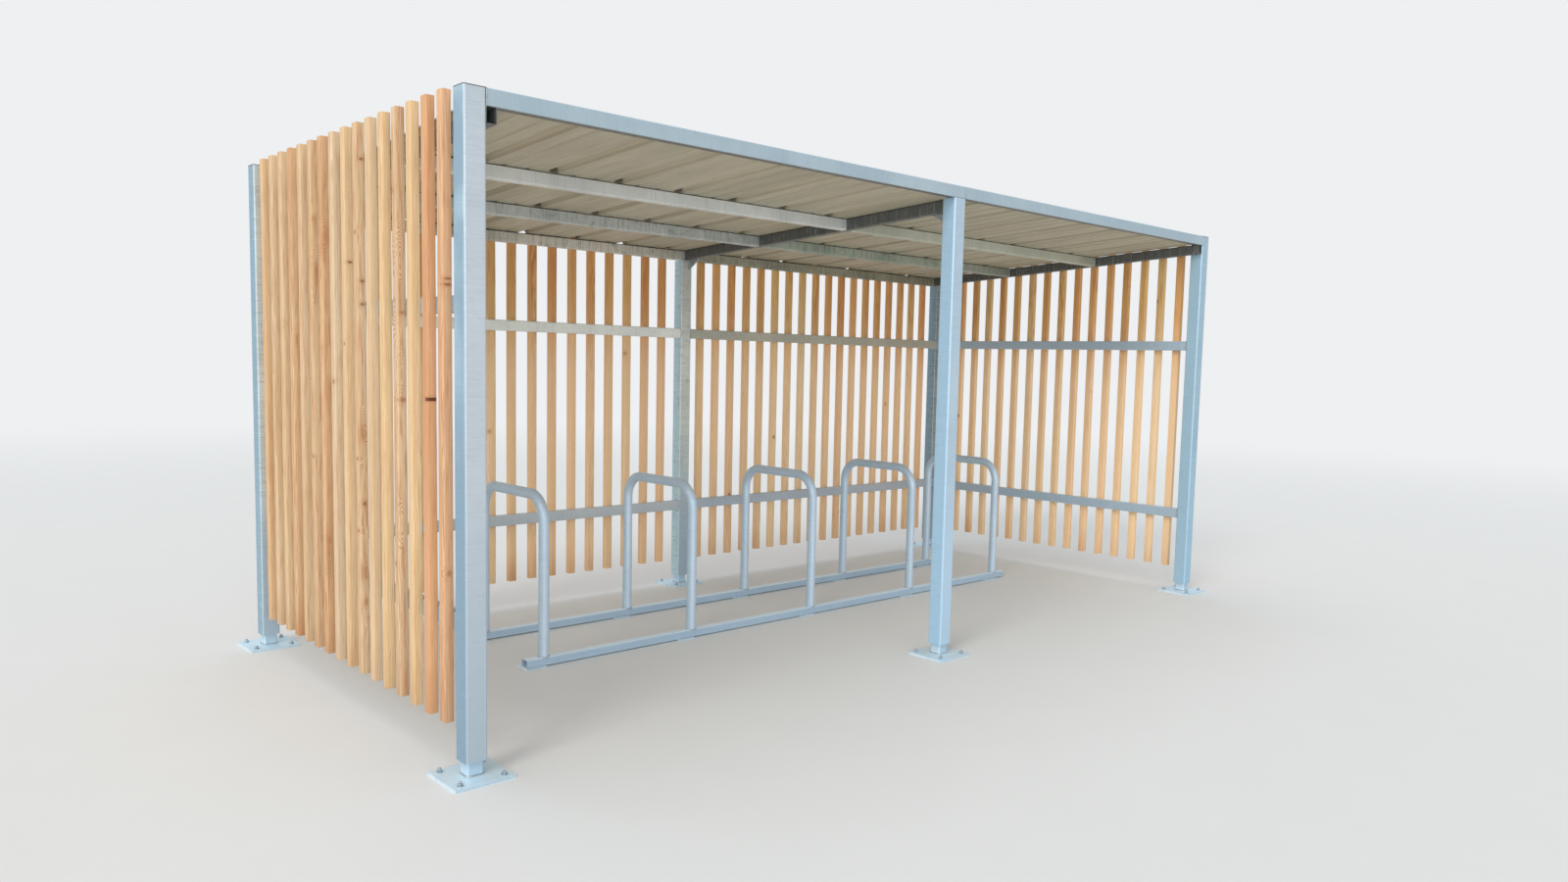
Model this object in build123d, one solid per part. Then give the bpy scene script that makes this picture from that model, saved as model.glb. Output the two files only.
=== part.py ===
from build123d import *
import math
import os

# Frame layout: post centre lines
bay_length = 2500.0
frame_depth = 2200.0
frame_height = 2325.0

# Posts: square hollow section, sleeved over the feet
post_side = 80.0
post_wall = 4.0
post_bottom = 60.0

# Plastic caps in the open tops of the corner posts
cap_thickness = 3.0
cap_plug_depth = 15.0
cap_plug_clearance = 1.0

# Feet: base plate, stub tube and the collar that fills the post's bore
plate_side = 220.0
plate_thickness = 10.0
anchor_spacing = 160.0
anchor_hole_radius = 7.0
stub_side = 60.0
stub_wall = 4.0
stub_top = 240.0
collar_height = 12.0

# Beams, rafters, purlins and wall rails share one rectangular section
bar_height = 60.0
bar_width = 40.0
bar_wall = 3.0
rafter_setback = 5.0
eaves_drop = 120.0

# Haunch plates under the middle rafter
haunch_length = 110.0
haunch_drop = 60.0
haunch_thickness = 8.0

# Wall rails: heights of their top faces
upper_rail_top = 1653.0
lower_rail_top = 551.0

# Timber slats
slat_width = 45.0
slat_thickness = 32.0
slat_pitch = 129.0
slat_edge = 2.0
slat_bottom = 157.0
slat_rise = 15.0
slat_end_gap = 60.0

# The left wall's battens stand a little closer, and further from the front post
left_slat_pitch = 127.3
left_slat_shift = 12.5

# Roof sheets: ribbed steel, lapped on their edge ribs
roof_sheets = 5
ribs_per_sheet = 3
sheet_thickness = 1.0
rib_height = 39.0
rib_top = 24.0
rib_web = 20.0
edge_return = 6.0
lap_clearance = 0.2
groove_height = 4.0
groove_top = 12.0
groove_web = 6.0
sheet_clearance = 5.0

# Cycle rack
hoop_count = 5
hoop_pitch = 863.0
hoop_diameter = 50.0
hoop_height = 830.0
hoop_span = 600.0
hoop_bend = 125.0
rack_offset_x = 90.0
rack_front = 1085.0
rack_rail_width = 50.0
rack_rail_height = 40.0
rack_rail_wall = 3.0
rack_rail_overhang = 100.0
anchor_plate_length = 100.0
anchor_plate_width = 110.0
anchor_plate_thickness = 6.0
anchor_plate_lip = 10.0
anchor_plate_shift = -50.0
rack_hole_radius = 6.0

# Derived positions, in the frame's own axes
half_side = post_side / 2
front_y = -frame_depth / 2
back_y = frame_depth / 2
post_columns = {"left": -bay_length, "middle": 0.0, "right": bay_length}
post_rows = {"front": front_y, "back": back_y}
beam_bottom = frame_height - bar_height
sheet_start_y = front_y - half_side + bar_width
front_face_y = front_y + half_side
back_face_y = back_y - half_side
roof_fall = eaves_drop / (back_face_y - front_face_y)
roof_angle = math.degrees(math.atan(roof_fall))
eaves_back_y = back_face_y + bar_width
eaves_top = beam_bottom - roof_fall * (eaves_back_y - front_face_y)
end_rafter_x = bay_length - half_side - bar_width / 2
rib_pitch = 2 * end_rafter_x / (roof_sheets * ribs_per_sheet)
rack_rail_top = anchor_plate_thickness + rack_rail_height


def roof_line(y):
    """Height of the plane that the roof sheets lie on."""
    return beam_bottom - roof_fall * (y - front_face_y)


def hollow_section(size_x, size_y, wall, length):
    """Rectangular tube standing on the origin along Z."""
    outer = RectangleRounded(size_x, size_y, 2 * wall)
    inner = Rectangle(size_x - 2 * wall, size_y - 2 * wall)
    return extrude(outer - inner, length)


def bar_along_x(x_start, x_end, y_centre, z_top):
    """Level bar between two x positions, 60 mm face upright."""
    tube = hollow_section(bar_height, bar_width, bar_wall, x_end - x_start)
    return Pos(x_start, y_centre, z_top - bar_height / 2) * Rot(0, 90, 0) * tube


def bar_along_y(y_start, y_end, x_centre, z_top):
    """Level bar between two y positions, 60 mm face upright."""
    tube = hollow_section(bar_width, bar_height, bar_wall, y_end - y_start)
    return Pos(x_centre, y_start, z_top - bar_height / 2) * Rot(-90, 0, 0) * tube


def build_post(x, y, top):
    """Hollow post, from just above its base plate up to the given height."""
    return Pos(x, y, post_bottom) * hollow_section(post_side, post_side, post_wall, top - post_bottom)


def build_cap(x, y):
    """Insert cap: a flat lid on the post's rim with a plug in its bore."""
    lid = extrude(RectangleRounded(post_side, post_side, 2 * post_wall), cap_thickness)
    plug_side = post_side - 2 * post_wall - 2 * cap_plug_clearance
    plug = Box(plug_side, plug_side, cap_plug_depth, align=(Align.CENTER, Align.CENTER, Align.MAX))
    return Pos(x, y, frame_height - cap_thickness) * (lid + plug)


def build_foot(x, y):
    """Base plate with four anchor holes, stub tube and collar."""
    plate = extrude(Rectangle(plate_side, plate_side), plate_thickness)
    drill = Cylinder(anchor_hole_radius, 4 * plate_thickness)
    for dx in (-anchor_spacing / 2, anchor_spacing / 2):
        for dy in (-anchor_spacing / 2, anchor_spacing / 2):
            plate = plate - Pos(dx, dy, 0) * drill
    stub = hollow_section(stub_side, stub_side, stub_wall, stub_top - plate_thickness)
    bore = post_side - 2 * post_wall
    ring = Rectangle(bore, bore) - RectangleRounded(stub_side, stub_side, 2 * stub_wall)
    collar = extrude(ring, collar_height)
    foot = plate + Pos(0, 0, plate_thickness) * stub + Pos(0, 0, post_bottom) * collar
    return Pos(x, y, 0) * foot


def build_rafter(x_centre, y_start, y_end):
    """Sloping bar cut upright at both ends and level under the front beam."""
    margin = 2 * bar_height
    run = (y_end - y_start + 2 * margin) / math.cos(math.radians(roof_angle))
    tube = hollow_section(bar_width, bar_height, bar_wall, run)
    tube = Rot(-90 - roof_angle, 0, 0) * Pos(0, bar_height / 2, 0) * tube
    tube = Pos(x_centre, y_start - margin, roof_line(y_start - margin)) * tube
    tall = 4 * bar_height + eaves_drop
    window = Box(2 * bar_width, y_end - y_start, tall, align=(Align.CENTER, Align.MIN, Align.MAX))
    return tube & Pos(x_centre, y_start, beam_bottom) * window


def build_purlin(x_start, x_end, y_centre):
    """Bar between rafters, tilted to lie flush with their tops."""
    tube = hollow_section(bar_height, bar_width, bar_wall, x_end - x_start)
    tube = Rot(-roof_angle, 0, 0) * Pos(0, 0, -bar_height / 2) * Rot(0, 90, 0) * tube
    return Pos(x_start, y_centre, roof_line(y_centre)) * tube


def haunch_plate(y_wall, direction):
    """Triangular plate in the corner below the middle rafter."""
    soffit = bar_height / math.cos(math.radians(roof_angle))
    y_tip = y_wall + direction * haunch_length
    corner = (y_wall, roof_line(y_wall) - soffit)
    tip = (y_tip, roof_line(y_tip) - soffit)
    foot = (y_wall, corner[1] - haunch_drop)
    outline = Plane.YZ * make_face(Polyline(corner, tip, foot, close=True))
    x_start = bar_width / 2 - haunch_thickness
    return Pos(x_start, 0, 0) * extrude(outline, haunch_thickness, dir=(1, 0, 0))


def build_slat(size_x, size_y):
    """One upright batten with eased long edges."""
    section = chamfer(Rectangle(size_x, size_y).vertices(), slat_edge)
    return extrude(section, frame_height + slat_rise - slat_bottom)


def slat_panel(clear_span, centre, along_y, pitch):
    """Row of separate battens at one pitch, as many as fit between two posts."""
    size = (slat_thickness, slat_width) if along_y else (slat_width, slat_thickness)
    count = int((clear_span - slat_width - 2 * slat_end_gap) // pitch) + 1
    slats = []
    for i in range(count):
        shift = (i - (count - 1) / 2) * pitch
        x = centre[0] if along_y else centre[0] + shift
        y = centre[1] + shift if along_y else centre[1]
        slats.append(Pos(x, y, slat_bottom) * build_slat(size[0], size[1]))
    return Compound(children=slats)


def raised_line(points, rise):
    """Copy of a profile line, set off upwards square to each of its runs."""
    normals = []
    for (x_from, z_from), (x_to, z_to) in zip(points, points[1:]):
        length = math.hypot(x_to - x_from, z_to - z_from)
        normals.append(((z_from - z_to) / length, (x_to - x_from) / length))
    normals = [normals[0]] + normals + [normals[-1]]
    raised = []
    for (x, z), (ax, az), (bx, bz) in zip(points, normals, normals[1:]):
        share = rise / (1 + ax * bx + az * bz)
        raised.append((x + share * (ax + bx), z + share * (az + bz)))
    return raised


def ridge_points(x, height, top, web):
    """Four corners of a raised ridge on the flat of a sheet."""
    return [(x - top / 2 - web, 0), (x - top / 2, height), (x + top / 2, height), (x + top / 2 + web, 0)]


def rib_points(x, lift):
    """Corners of a main rib, set off outwards by the lift where it laps another."""
    lean = math.atan2(rib_height, rib_web)
    height = rib_height + lift
    top = rib_top + 2 * lift * math.tan(lean / 2)
    return ridge_points(x, height, top, height * rib_web / rib_height)


def return_point(top_corner, side):
    """Free edge of a sheet, a little way down the outer flank of its edge rib."""
    return (top_corner[0] + side * edge_return * rib_web / rib_height, top_corner[1] - edge_return)


def sheet_profile(number):
    """Underside line of one roof sheet, from edge rib to edge rib."""
    x_start = -end_rafter_x + number * ribs_per_sheet * rib_pitch
    points = rib_points(x_start, 0)
    points[0] = return_point(points[1], -1)
    for i in range(1, ribs_per_sheet + 1):
        x_rib = x_start + i * rib_pitch
        points += ridge_points(x_rib - rib_pitch * 2 / 3, groove_height, groove_top, groove_web)
        points += ridge_points(x_rib - rib_pitch / 3, groove_height, groove_top, groove_web)
        laps_next = i == ribs_per_sheet and number < roof_sheets - 1
        points += rib_points(x_rib, sheet_thickness + lap_clearance if laps_next else 0)
    points[-1] = return_point(points[-2], 1)
    return points


def build_sheet(number):
    """Ribbed sheet laid on the rafters, from the front beam to the eaves."""
    lower = sheet_profile(number)
    upper = raised_line(lower, sheet_thickness)
    outline = Plane.XZ * make_face(Polyline(*lower, *reversed(upper), close=True))
    y_start = sheet_start_y + sheet_clearance
    y_end = eaves_back_y - sheet_clearance
    run = (y_end - y_start) / math.cos(math.radians(roof_angle))
    sheet = Rot(-roof_angle, 0, 0) * extrude(outline, run, dir=(0, 1, 0))
    return Pos(0, y_start, roof_line(y_start)) * sheet


def build_hoop(x):
    """Bent round bar: two legs and a level top."""
    y_front = front_y - half_side + rack_front
    y_back = y_front + hoop_span
    z_top = hoop_height - hoop_diameter / 2
    corners = [(y_front, rack_rail_top), (y_front, z_top), (y_back, z_top), (y_back, rack_rail_top)]
    path = Plane.YZ * FilletPolyline(*corners, radius=hoop_bend)
    start = Plane(origin=(0, y_front, rack_rail_top), z_dir=(0, 0, 1))
    return Pos(x, 0, 0) * sweep(start * Circle(hoop_diameter / 2), path)


def hoop_x(i):
    """Position of one hoop along the rack."""
    return rack_offset_x + (i - (hoop_count - 1) / 2) * hoop_pitch


def build_rack_rail(y):
    """Open-ended base tube on one drilled anchor plate per hoop leg."""
    reach = (hoop_count - 1) / 2 * hoop_pitch + rack_rail_overhang
    rail = hollow_section(rack_rail_height, rack_rail_width, rack_rail_wall, 2 * reach)
    rail_z = anchor_plate_thickness + rack_rail_height / 2
    rail = Pos(rack_offset_x - reach, y, rail_z) * Rot(0, 90, 0) * rail
    plate_front = y - rack_rail_width / 2 - anchor_plate_lip
    plate_back = plate_front + anchor_plate_width
    hole_y = (y + rack_rail_width / 2 + plate_back) / 2
    sits_on = (Align.CENTER, Align.MIN, Align.MIN)
    for i in range(hoop_count):
        x = hoop_x(i) + anchor_plate_shift
        plate = Box(anchor_plate_length, anchor_plate_width, anchor_plate_thickness, align=sits_on)
        rail = rail + Pos(x, plate_front, 0) * plate
        rail = rail - Pos(x, hole_y, 0) * Cylinder(rack_hole_radius, 4 * anchor_plate_thickness)
    return rail


parts = {}

# Posts and feet: the middle posts stop under the beams
for row, y in post_rows.items():
    for column, x in post_columns.items():
        top = frame_height - cap_thickness
        if column == "middle":
            top = beam_bottom if row == "front" else eaves_top - bar_height
        parts[f"post_{row}_{column}"] = build_post(x, y, top)
        parts[f"foot_{row}_{column}"] = build_foot(x, y)
caps = [build_cap(x, y) for x in (-bay_length, bay_length) for y in (front_y, back_y)]
parts["post_caps"] = Compound(children=caps)

# Front and back beams, jointed at the right edge of the middle posts
beam_ends = {"left": (-bay_length + half_side, half_side), "right": (half_side, bay_length - half_side)}
for side, (x_start, x_end) in beam_ends.items():
    front_beam_y = front_y - half_side + bar_width / 2
    back_beam_y = back_face_y + bar_width / 2
    parts[f"front_beam_{side}"] = bar_along_x(x_start, x_end, front_beam_y, frame_height)
    parts[f"back_beam_{side}"] = bar_along_x(x_start, x_end, back_beam_y, eaves_top)

# Rafters: the end ones run under the front beam, the middle one starts behind its post
open_end_y = front_y - half_side + rafter_setback
parts["rafter_left"] = build_rafter(-end_rafter_x, open_end_y, back_face_y)
parts["rafter_middle"] = build_rafter(0, front_face_y, back_face_y)
parts["rafter_right"] = build_rafter(end_rafter_x, open_end_y, back_face_y)
haunches = [haunch_plate(front_face_y, 1), haunch_plate(back_face_y, -1)]
parts["rafter_haunches"] = Compound(children=haunches)

# Purlins at thirds of the roof
purlin_inner = bar_width / 2
purlin_outer = end_rafter_x - bar_width / 2
for i, name in ((1, "front"), (2, "back")):
    y = sheet_start_y + i * (back_face_y - sheet_start_y) / 3 + bar_width / 2
    parts[f"purlin_{name}_left"] = build_purlin(-purlin_outer, -purlin_inner, y)
    parts[f"purlin_{name}_right"] = build_purlin(purlin_inner, purlin_outer, y)

# Wall rails in pairs: inner faces flush with the posts' inner faces
rail_x = bay_length - half_side + bar_width / 2
rail_y = back_face_y + bar_width / 2
rail_tops = (upper_rail_top, lower_rail_top)
for side, sign in (("left", -1), ("right", 1)):
    side_rails = [bar_along_y(front_face_y, back_face_y, sign * rail_x, z) for z in rail_tops]
    parts[f"side_rails_{side}"] = Compound(children=side_rails)
    x_start, x_end = sorted((sign * half_side, sign * (bay_length - half_side)))
    back_rails = [bar_along_x(x_start, x_end, rail_y, z) for z in rail_tops]
    parts[f"back_rails_{side}"] = Compound(children=back_rails)

# Slat panels on the outer faces of the rails
panel_x = rail_x + bar_width / 2 + slat_thickness / 2
panel_y = rail_y + bar_width / 2 + slat_thickness / 2
side_span = frame_depth - post_side
bay_span = bay_length - post_side
parts["slats_left"] = slat_panel(side_span, (-panel_x, left_slat_shift), True, left_slat_pitch)
parts["slats_right"] = slat_panel(side_span, (panel_x, 0), True, slat_pitch)
parts["slats_back_left"] = slat_panel(bay_span, (-bay_length / 2, panel_y), False, slat_pitch)
parts["slats_back_right"] = slat_panel(bay_span, (bay_length / 2, panel_y), False, slat_pitch)

# Roof sheets
for i in range(roof_sheets):
    parts[f"roof_sheet_{i + 1}"] = build_sheet(i)

# Cycle rack: hoops on two base rails
for i in range(hoop_count):
    parts[f"hoop_{i + 1}"] = build_hoop(hoop_x(i))
rack_y = front_y - half_side + rack_front
parts["rack_rail_front"] = build_rack_rail(rack_y)
parts["rack_rail_back"] = build_rack_rail(rack_y + hoop_span)

os.makedirs("parts", exist_ok=True)
for name, shape in parts.items():
    export_step(shape, f"parts/{name}.step")
print(len(parts), "parts written")
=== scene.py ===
"""Finishes, fittings and studio for the cycle shelter: zinc frame, larch slats, ribbed roof, hoop rack."""

import logging
import math
import random
from collections import defaultdict
from dataclasses import dataclass, field, replace
from enum import Enum
from typing import Sequence

import bpy
from mathutils import Matrix, Vector


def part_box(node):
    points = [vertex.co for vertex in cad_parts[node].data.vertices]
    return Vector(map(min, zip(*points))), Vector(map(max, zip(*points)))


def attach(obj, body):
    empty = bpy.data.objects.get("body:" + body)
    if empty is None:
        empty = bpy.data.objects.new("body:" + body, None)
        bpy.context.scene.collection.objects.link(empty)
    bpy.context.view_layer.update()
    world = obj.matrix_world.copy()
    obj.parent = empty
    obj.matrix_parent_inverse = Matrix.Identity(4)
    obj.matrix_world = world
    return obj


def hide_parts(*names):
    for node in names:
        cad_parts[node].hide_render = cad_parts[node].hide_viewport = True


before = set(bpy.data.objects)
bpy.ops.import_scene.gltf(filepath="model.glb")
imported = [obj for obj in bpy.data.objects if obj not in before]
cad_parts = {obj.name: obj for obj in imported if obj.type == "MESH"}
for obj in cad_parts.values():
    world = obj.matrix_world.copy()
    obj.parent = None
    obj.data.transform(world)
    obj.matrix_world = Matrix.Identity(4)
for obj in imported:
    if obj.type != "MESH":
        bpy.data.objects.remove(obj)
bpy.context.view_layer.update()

LOG = logging.getLogger("cycle_shelter")

Shade = tuple[float, float, float]
Scale = tuple[float, float, float]
Socket = bpy.types.NodeSocket


def shade(red: int, green: int, blue: int) -> Shade:
    """Linear colour from its 8-bit screen values.

    Args:
        red: Red, 0 to 255.
        green: Green, 0 to 255.
        blue: Blue, 0 to 255.

    Returns:
        The colour as Blender stores it.
    """
    def straight(value: int) -> float:
        """One channel without its screen curve."""
        share = value / 255
        return share / 12.92 if share <= 0.04045 else ((share + 0.055) / 1.055) ** 2.4

    return straight(red), straight(green), straight(blue)


class Slot(Enum):
    """Material slots of the record, named in the calls that build the pieces."""

    FRAME = "galvanised_frame"
    ROOF_FRAME = "galvanised_roof_frame"
    RACK = "galvanised_rack"
    SHEET = "roof_sheet"
    LARCH = "larch"


class Run(Enum):
    """Direction that a bar runs in, as an axis number."""

    ALONG_X = 0
    ALONG_Y = 1
    ALONG_Z = 2


class Tone(Enum):
    """Colour of one larch batten, as sorted by eye at the saw."""

    PALE = 0.05
    STRAW = 0.25
    TAN = 0.45
    OCHRE = 0.6
    PINK = 0.75
    ORANGE = 0.95
    CREAM = 0.35


# Wood between the ring lines, from the palest tone to the most orange.
EARLY_WOOD = {
    Tone.PALE: shade(232, 209, 176),
    Tone.STRAW: shade(230, 200, 159),
    Tone.CREAM: shade(240, 209, 162),
    Tone.TAN: shade(227, 191, 147),
    Tone.OCHRE: shade(224, 181, 134),
    Tone.PINK: shade(236, 194, 154),
    Tone.ORANGE: shade(228, 176, 131),
}

# Wood of the ring lines, in the same order.
LATE_WOOD = {
    Tone.PALE: shade(206, 176, 136),
    Tone.STRAW: shade(206, 166, 119),
    Tone.CREAM: shade(214, 174, 122),
    Tone.TAN: shade(200, 153, 106),
    Tone.OCHRE: shade(194, 140, 90),
    Tone.PINK: shade(212, 160, 116),
    Tone.ORANGE: shade(196, 136, 90),
}


class FinishGraph:
    """Shader nodes of one finish, with short calls for the nodes that it needs."""

    def __init__(self, name: str) -> None:
        """Start a material with one plain surface shader.

        Args:
            name: Name of the material.
        """
        self.material = bpy.data.materials.new(name)
        self.material.use_nodes = True
        self.tree = self.material.node_tree
        self.tree.nodes.clear()
        self.shader = self.tree.nodes.new("ShaderNodeBsdfPrincipled")
        output = self.tree.nodes.new("ShaderNodeOutputMaterial")
        self.tree.links.new(self.shader.outputs["BSDF"], output.inputs["Surface"])

    def feed(self, socket: Socket, value: object) -> None:
        """Link a socket to another, or set its plain value.

        Args:
            socket: Input socket.
            value: Output socket, number, colour or vector.
        """
        if isinstance(value, bpy.types.NodeSocket):
            self.tree.links.new(value, socket)
        elif isinstance(value, tuple) and len(value) == 3 and socket.type == "RGBA":
            socket.default_value = (*value, 1.0)
        else:
            socket.default_value = value

    def node(self, kind: str, inputs: dict[object, object], **settings: object) -> bpy.types.Node:
        """Add one node.

        Args:
            kind: Node type.
            inputs: Values or sockets for its inputs, by name or number.
            **settings: Other settings of the node.

        Returns:
            The node.
        """
        node = self.tree.nodes.new(kind)
        for name, value in settings.items():
            setattr(node, name, value)
        for key, value in inputs.items():
            self.feed(node.inputs[key], value)
        return node

    def surface(self, **inputs: object) -> None:
        """Set inputs of the surface shader, with underscores for the spaces in their names."""
        for name, value in inputs.items():
            self.feed(self.shader.inputs[name.replace("_", " ")], value)

    def place(self) -> Socket:
        """Position on the object, in metres."""
        return self.node("ShaderNodeTexCoord", {}).outputs["Object"]

    def normal_part(self, axis: int) -> Socket:
        """One component of the surface direction, before any bump."""
        normal = self.node("ShaderNodeNewGeometry", {}).outputs["True Normal"]
        return self.split(normal)[axis]

    def split(self, vector: Socket) -> tuple[Socket, Socket, Socket]:
        """The three components of a vector."""
        outputs = self.node("ShaderNodeSeparateXYZ", {0: vector}).outputs
        return outputs[0], outputs[1], outputs[2]

    def attribute(self, name: str, output: str = "Fac") -> Socket:
        """Value stored on the mesh under a name."""
        return self.node("ShaderNodeAttribute", {}, attribute_name=name).outputs[output]

    def stretch(self, vector: Socket, scale: Sequence[float]) -> Socket:
        """Vector scaled axis by axis."""
        node = self.node("ShaderNodeVectorMath", {0: vector, 1: tuple(scale)}, operation="MULTIPLY")
        return node.outputs[0]

    def noise(self, vector: Socket, scale: float, detail: float = 3.0, rough: float = 0.55) -> Socket:
        """Cloudy pattern, 0 to 1.

        Args:
            vector: Place on the surface.
            scale: Clouds per metre.
            detail: Number of finer layers.
            rough: Weight of the finer layers.

        Returns:
            Value of the pattern.
        """
        inputs = {"Vector": vector, "Scale": scale, "Detail": detail, "Roughness": rough}
        return self.node("ShaderNodeTexNoise", inputs).outputs[0]

    def cells(self, vector: Socket, scale: float, output: str = "Distance") -> Socket:
        """Cell pattern, by distance to the cell's middle, or its random colour."""
        return self.node("ShaderNodeTexVoronoi", {"Vector": vector, "Scale": scale}).outputs[output]

    def maths(self, operation: str, first: object, second: object = 0.0) -> Socket:
        """One sum of two numbers."""
        return self.node("ShaderNodeMath", {0: first, 1: second}, operation=operation).outputs[0]

    def remap(self, value: Socket, low: float, high: float,
              to_low: float = 0.0, to_high: float = 1.0) -> Socket:
        """Value moved smoothly from one range to another, and held inside it.

        Args:
            value: Number to move.
            low: Start of its range.
            high: End of its range.
            to_low: Result at the start.
            to_high: Result at the end.

        Returns:
            The moved number.
        """
        inputs = {"Value": value, "From Min": low, "From Max": high, "To Min": to_low, "To Max": to_high}
        return self.node("ShaderNodeMapRange", inputs, interpolation_type="SMOOTHSTEP").outputs[0]

    def blend(self, factor: object, first: object, second: object, kind: str = "MIX") -> Socket:
        """Two colours blended.

        Args:
            factor: Share of the second, 0 to 1.
            first: First colour.
            second: Second colour.
            kind: Way of blending.

        Returns:
            The blended colour.
        """
        node = self.node("ShaderNodeMix", {}, data_type="RGBA", blend_type=kind)
        for index, value in ((0, factor), (6, first), (7, second)):
            self.feed(node.inputs[index], value)
        return node.outputs[2]

    def ramp(self, value: Socket, stops: Sequence[tuple[float, Shade]]) -> Socket:
        """Colour read off a row of stops.

        Args:
            value: Place in the row, 0 to 1.
            stops: Places and their colours, in order.

        Returns:
            The colour.
        """
        node = self.node("ShaderNodeValToRGB", {0: value})
        elements = node.color_ramp.elements
        while len(elements) < len(stops):
            elements.new(0.5)
        for element, (place, colour) in zip(elements, stops):
            element.position = place
            element.color = (*colour, 1.0)
        return node.outputs[0]

    def relief(self, height: Socket, depth: float, strength: float = 1.0) -> None:
        """Raise the surface by a pattern.

        Args:
            height: Pattern, 0 to 1.
            depth: Height of the relief in metres.
            strength: Share of it that shows.
        """
        bump = self.node("ShaderNodeBump", {"Height": height, "Distance": depth, "Strength": strength})
        self.surface(Normal=bump.outputs[0])


@dataclass(frozen=True)
class Galvanised:
    """Hot-dip zinc on steel: colours by height, streaks, tarnish, soiling, and painted light and shade by
    side.
    """

    name: str
    pale: Shade
    deep: Shade
    stain: Shade
    low: Shade
    # The colour of the faces towards -X, and its lighter clouds higher up, are painted reflection and shade.
    painted_side: Shade
    streak: float
    tarnish: float
    specks: float = 0.0
    corner_highlight: float = 0.2
    dust_height: float = 0.0
    below: Shade | None = None
    above: Shade | None = None
    painted_top_shadow: float = 0.0
    painted_side_light_share: float = 0.4
    metal: float = 0.35
    spangles_per_metre: float = 75.0
    streaks_per_metre: float = 160.0
    streak_drift_per_metre: float = 9.0
    clouds_per_metre: float = 3.2
    patches_per_metre: float = 30.0
    specks_per_metre: float = 260.0
    painted_side_light_heights: tuple[float, float] = (0.7, 1.9)
    low_heights: tuple[float, float] = (1.2, 0.15)
    painted_side_light: Shade = shade(194, 218, 230)
    bloom_colour: Shade = shade(226, 234, 240)
    speck_colour: Shade = shade(58, 58, 54)
    corner_highlight_colour: Shade = shade(228, 238, 246)
    painted_top_shadow_colour: Shade = shade(44, 42, 38)
    dust_colour: Shade = shade(222, 242, 252)

    def build(self, run: Run) -> bpy.types.Material:
        """Make the finish for bars that run one way, with drain streaks across them.

        Args:
            run: Direction of the bars.

        Returns:
            The material.
        """
        graph = FinishGraph(f"{self.name}_{run.name.lower()}")
        place = graph.place()
        height = graph.split(place)[2]
        spread = [self.streak_drift_per_metre] * 3
        spread[run.value] = self.streaks_per_metre
        streaks = graph.noise(graph.stretch(place, spread), 1.0, 4.0, 0.6)
        clouds = graph.noise(place, self.clouds_per_metre, 3.0, 0.5)
        patches = graph.noise(place, self.patches_per_metre, 4.0, 0.6)
        spangle = graph.split(graph.cells(place, self.spangles_per_metre, "Color"))[0]

        colour = self.sides(graph, clouds, height)
        colour = self.streaked(graph, colour, streaks, patches)
        colour = self.low_and_top(graph, colour, height)
        colour = self.soiled_and_painted_light(graph, colour, place, patches)

        roughness = graph.remap(spangle, 0.0, 1.0, 0.38, 0.50)
        roughness = graph.maths("ADD", roughness, graph.remap(clouds, 0.3, 0.7, 0.0, 0.08))
        graph.surface(Base_Color=colour, Roughness=roughness, Metallic=self.metal)
        graph.relief(graph.maths("ADD", graph.maths("MULTIPLY", streaks, 0.7), patches), 0.0006, 0.30)
        return graph.material

    def sides(self, graph: FinishGraph, clouds: Socket, height: Socket) -> Socket:
        """The zinc's colour, with painted reflection and shade on the faces towards -X and painted shade on
        the undersides.

        Args:
            graph: Graph of the finish.
            clouds: Broad clouds, 0 to 1.
            height: Height above the ground in metres.

        Returns:
            The colour.
        """
        colour = graph.blend(graph.remap(clouds, 0.35, 0.65, 0.0, 0.8), self.pale, self.deep)
        # Painted reflection and shade: the faces towards -X take a colour of their own, lighter higher up.
        side_light_share = graph.remap(clouds, 0.38, 0.64, 0.3 * self.painted_side_light_share, self.painted_side_light_share)
        lit_painted_side = graph.blend(side_light_share, self.painted_side, self.painted_side_light)
        side = graph.blend(graph.remap(height, *self.painted_side_light_heights), self.painted_side, lit_painted_side)
        colour = graph.blend(self.facing(graph, 0, -1), colour, side)
        # Painted shade on the faces that look down.
        if self.below is not None:
            colour = graph.blend(self.facing(graph, 2, -1), colour, self.below)
        return colour

    def streaked(self, graph: FinishGraph, colour: Socket, streaks: Socket, patches: Socket) -> Socket:
        """Drain streaks, dark ones and pale ones, and blotches of tarnish.

        Args:
            graph: Graph of the finish.
            colour: Colour so far.
            streaks: Pattern of the streaks, 0 to 1.
            patches: Pattern of the blotches, 0 to 1.

        Returns:
            The colour.
        """
        dark = graph.maths("MULTIPLY", graph.remap(streaks, 0.50, 0.74), self.streak)
        colour = graph.blend(dark, colour, self.stain)
        pale = graph.maths("MULTIPLY", graph.remap(streaks, 0.46, 0.30), self.streak * 0.5)
        colour = graph.blend(pale, colour, self.bloom_colour)
        tarnished = graph.maths("MULTIPLY", graph.remap(patches, 0.52, 0.78), self.tarnish)
        return graph.blend(tarnished, colour, self.stain)

    def low_and_top(self, graph: FinishGraph, colour: Socket, height: Socket) -> Socket:
        """Change of colour towards the ground, and painted light on the faces that look up.

        Args:
            graph: Graph of the finish.
            colour: Colour so far.
            height: Height above the ground in metres.

        Returns:
            The colour.
        """
        low_down = graph.remap(height, *self.low_heights, 0.0, 0.75)
        other_sides = graph.remap(self.facing(graph, 0, -1), 0.0, 1.0, 1.0, 0.0)
        colour = graph.blend(graph.maths("MULTIPLY", low_down, other_sides), colour, self.low)
        # Painted light on the faces that look up.
        if self.above is not None:
            colour = graph.blend(self.facing(graph, 2, 1), colour, self.above)
        return colour

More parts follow.
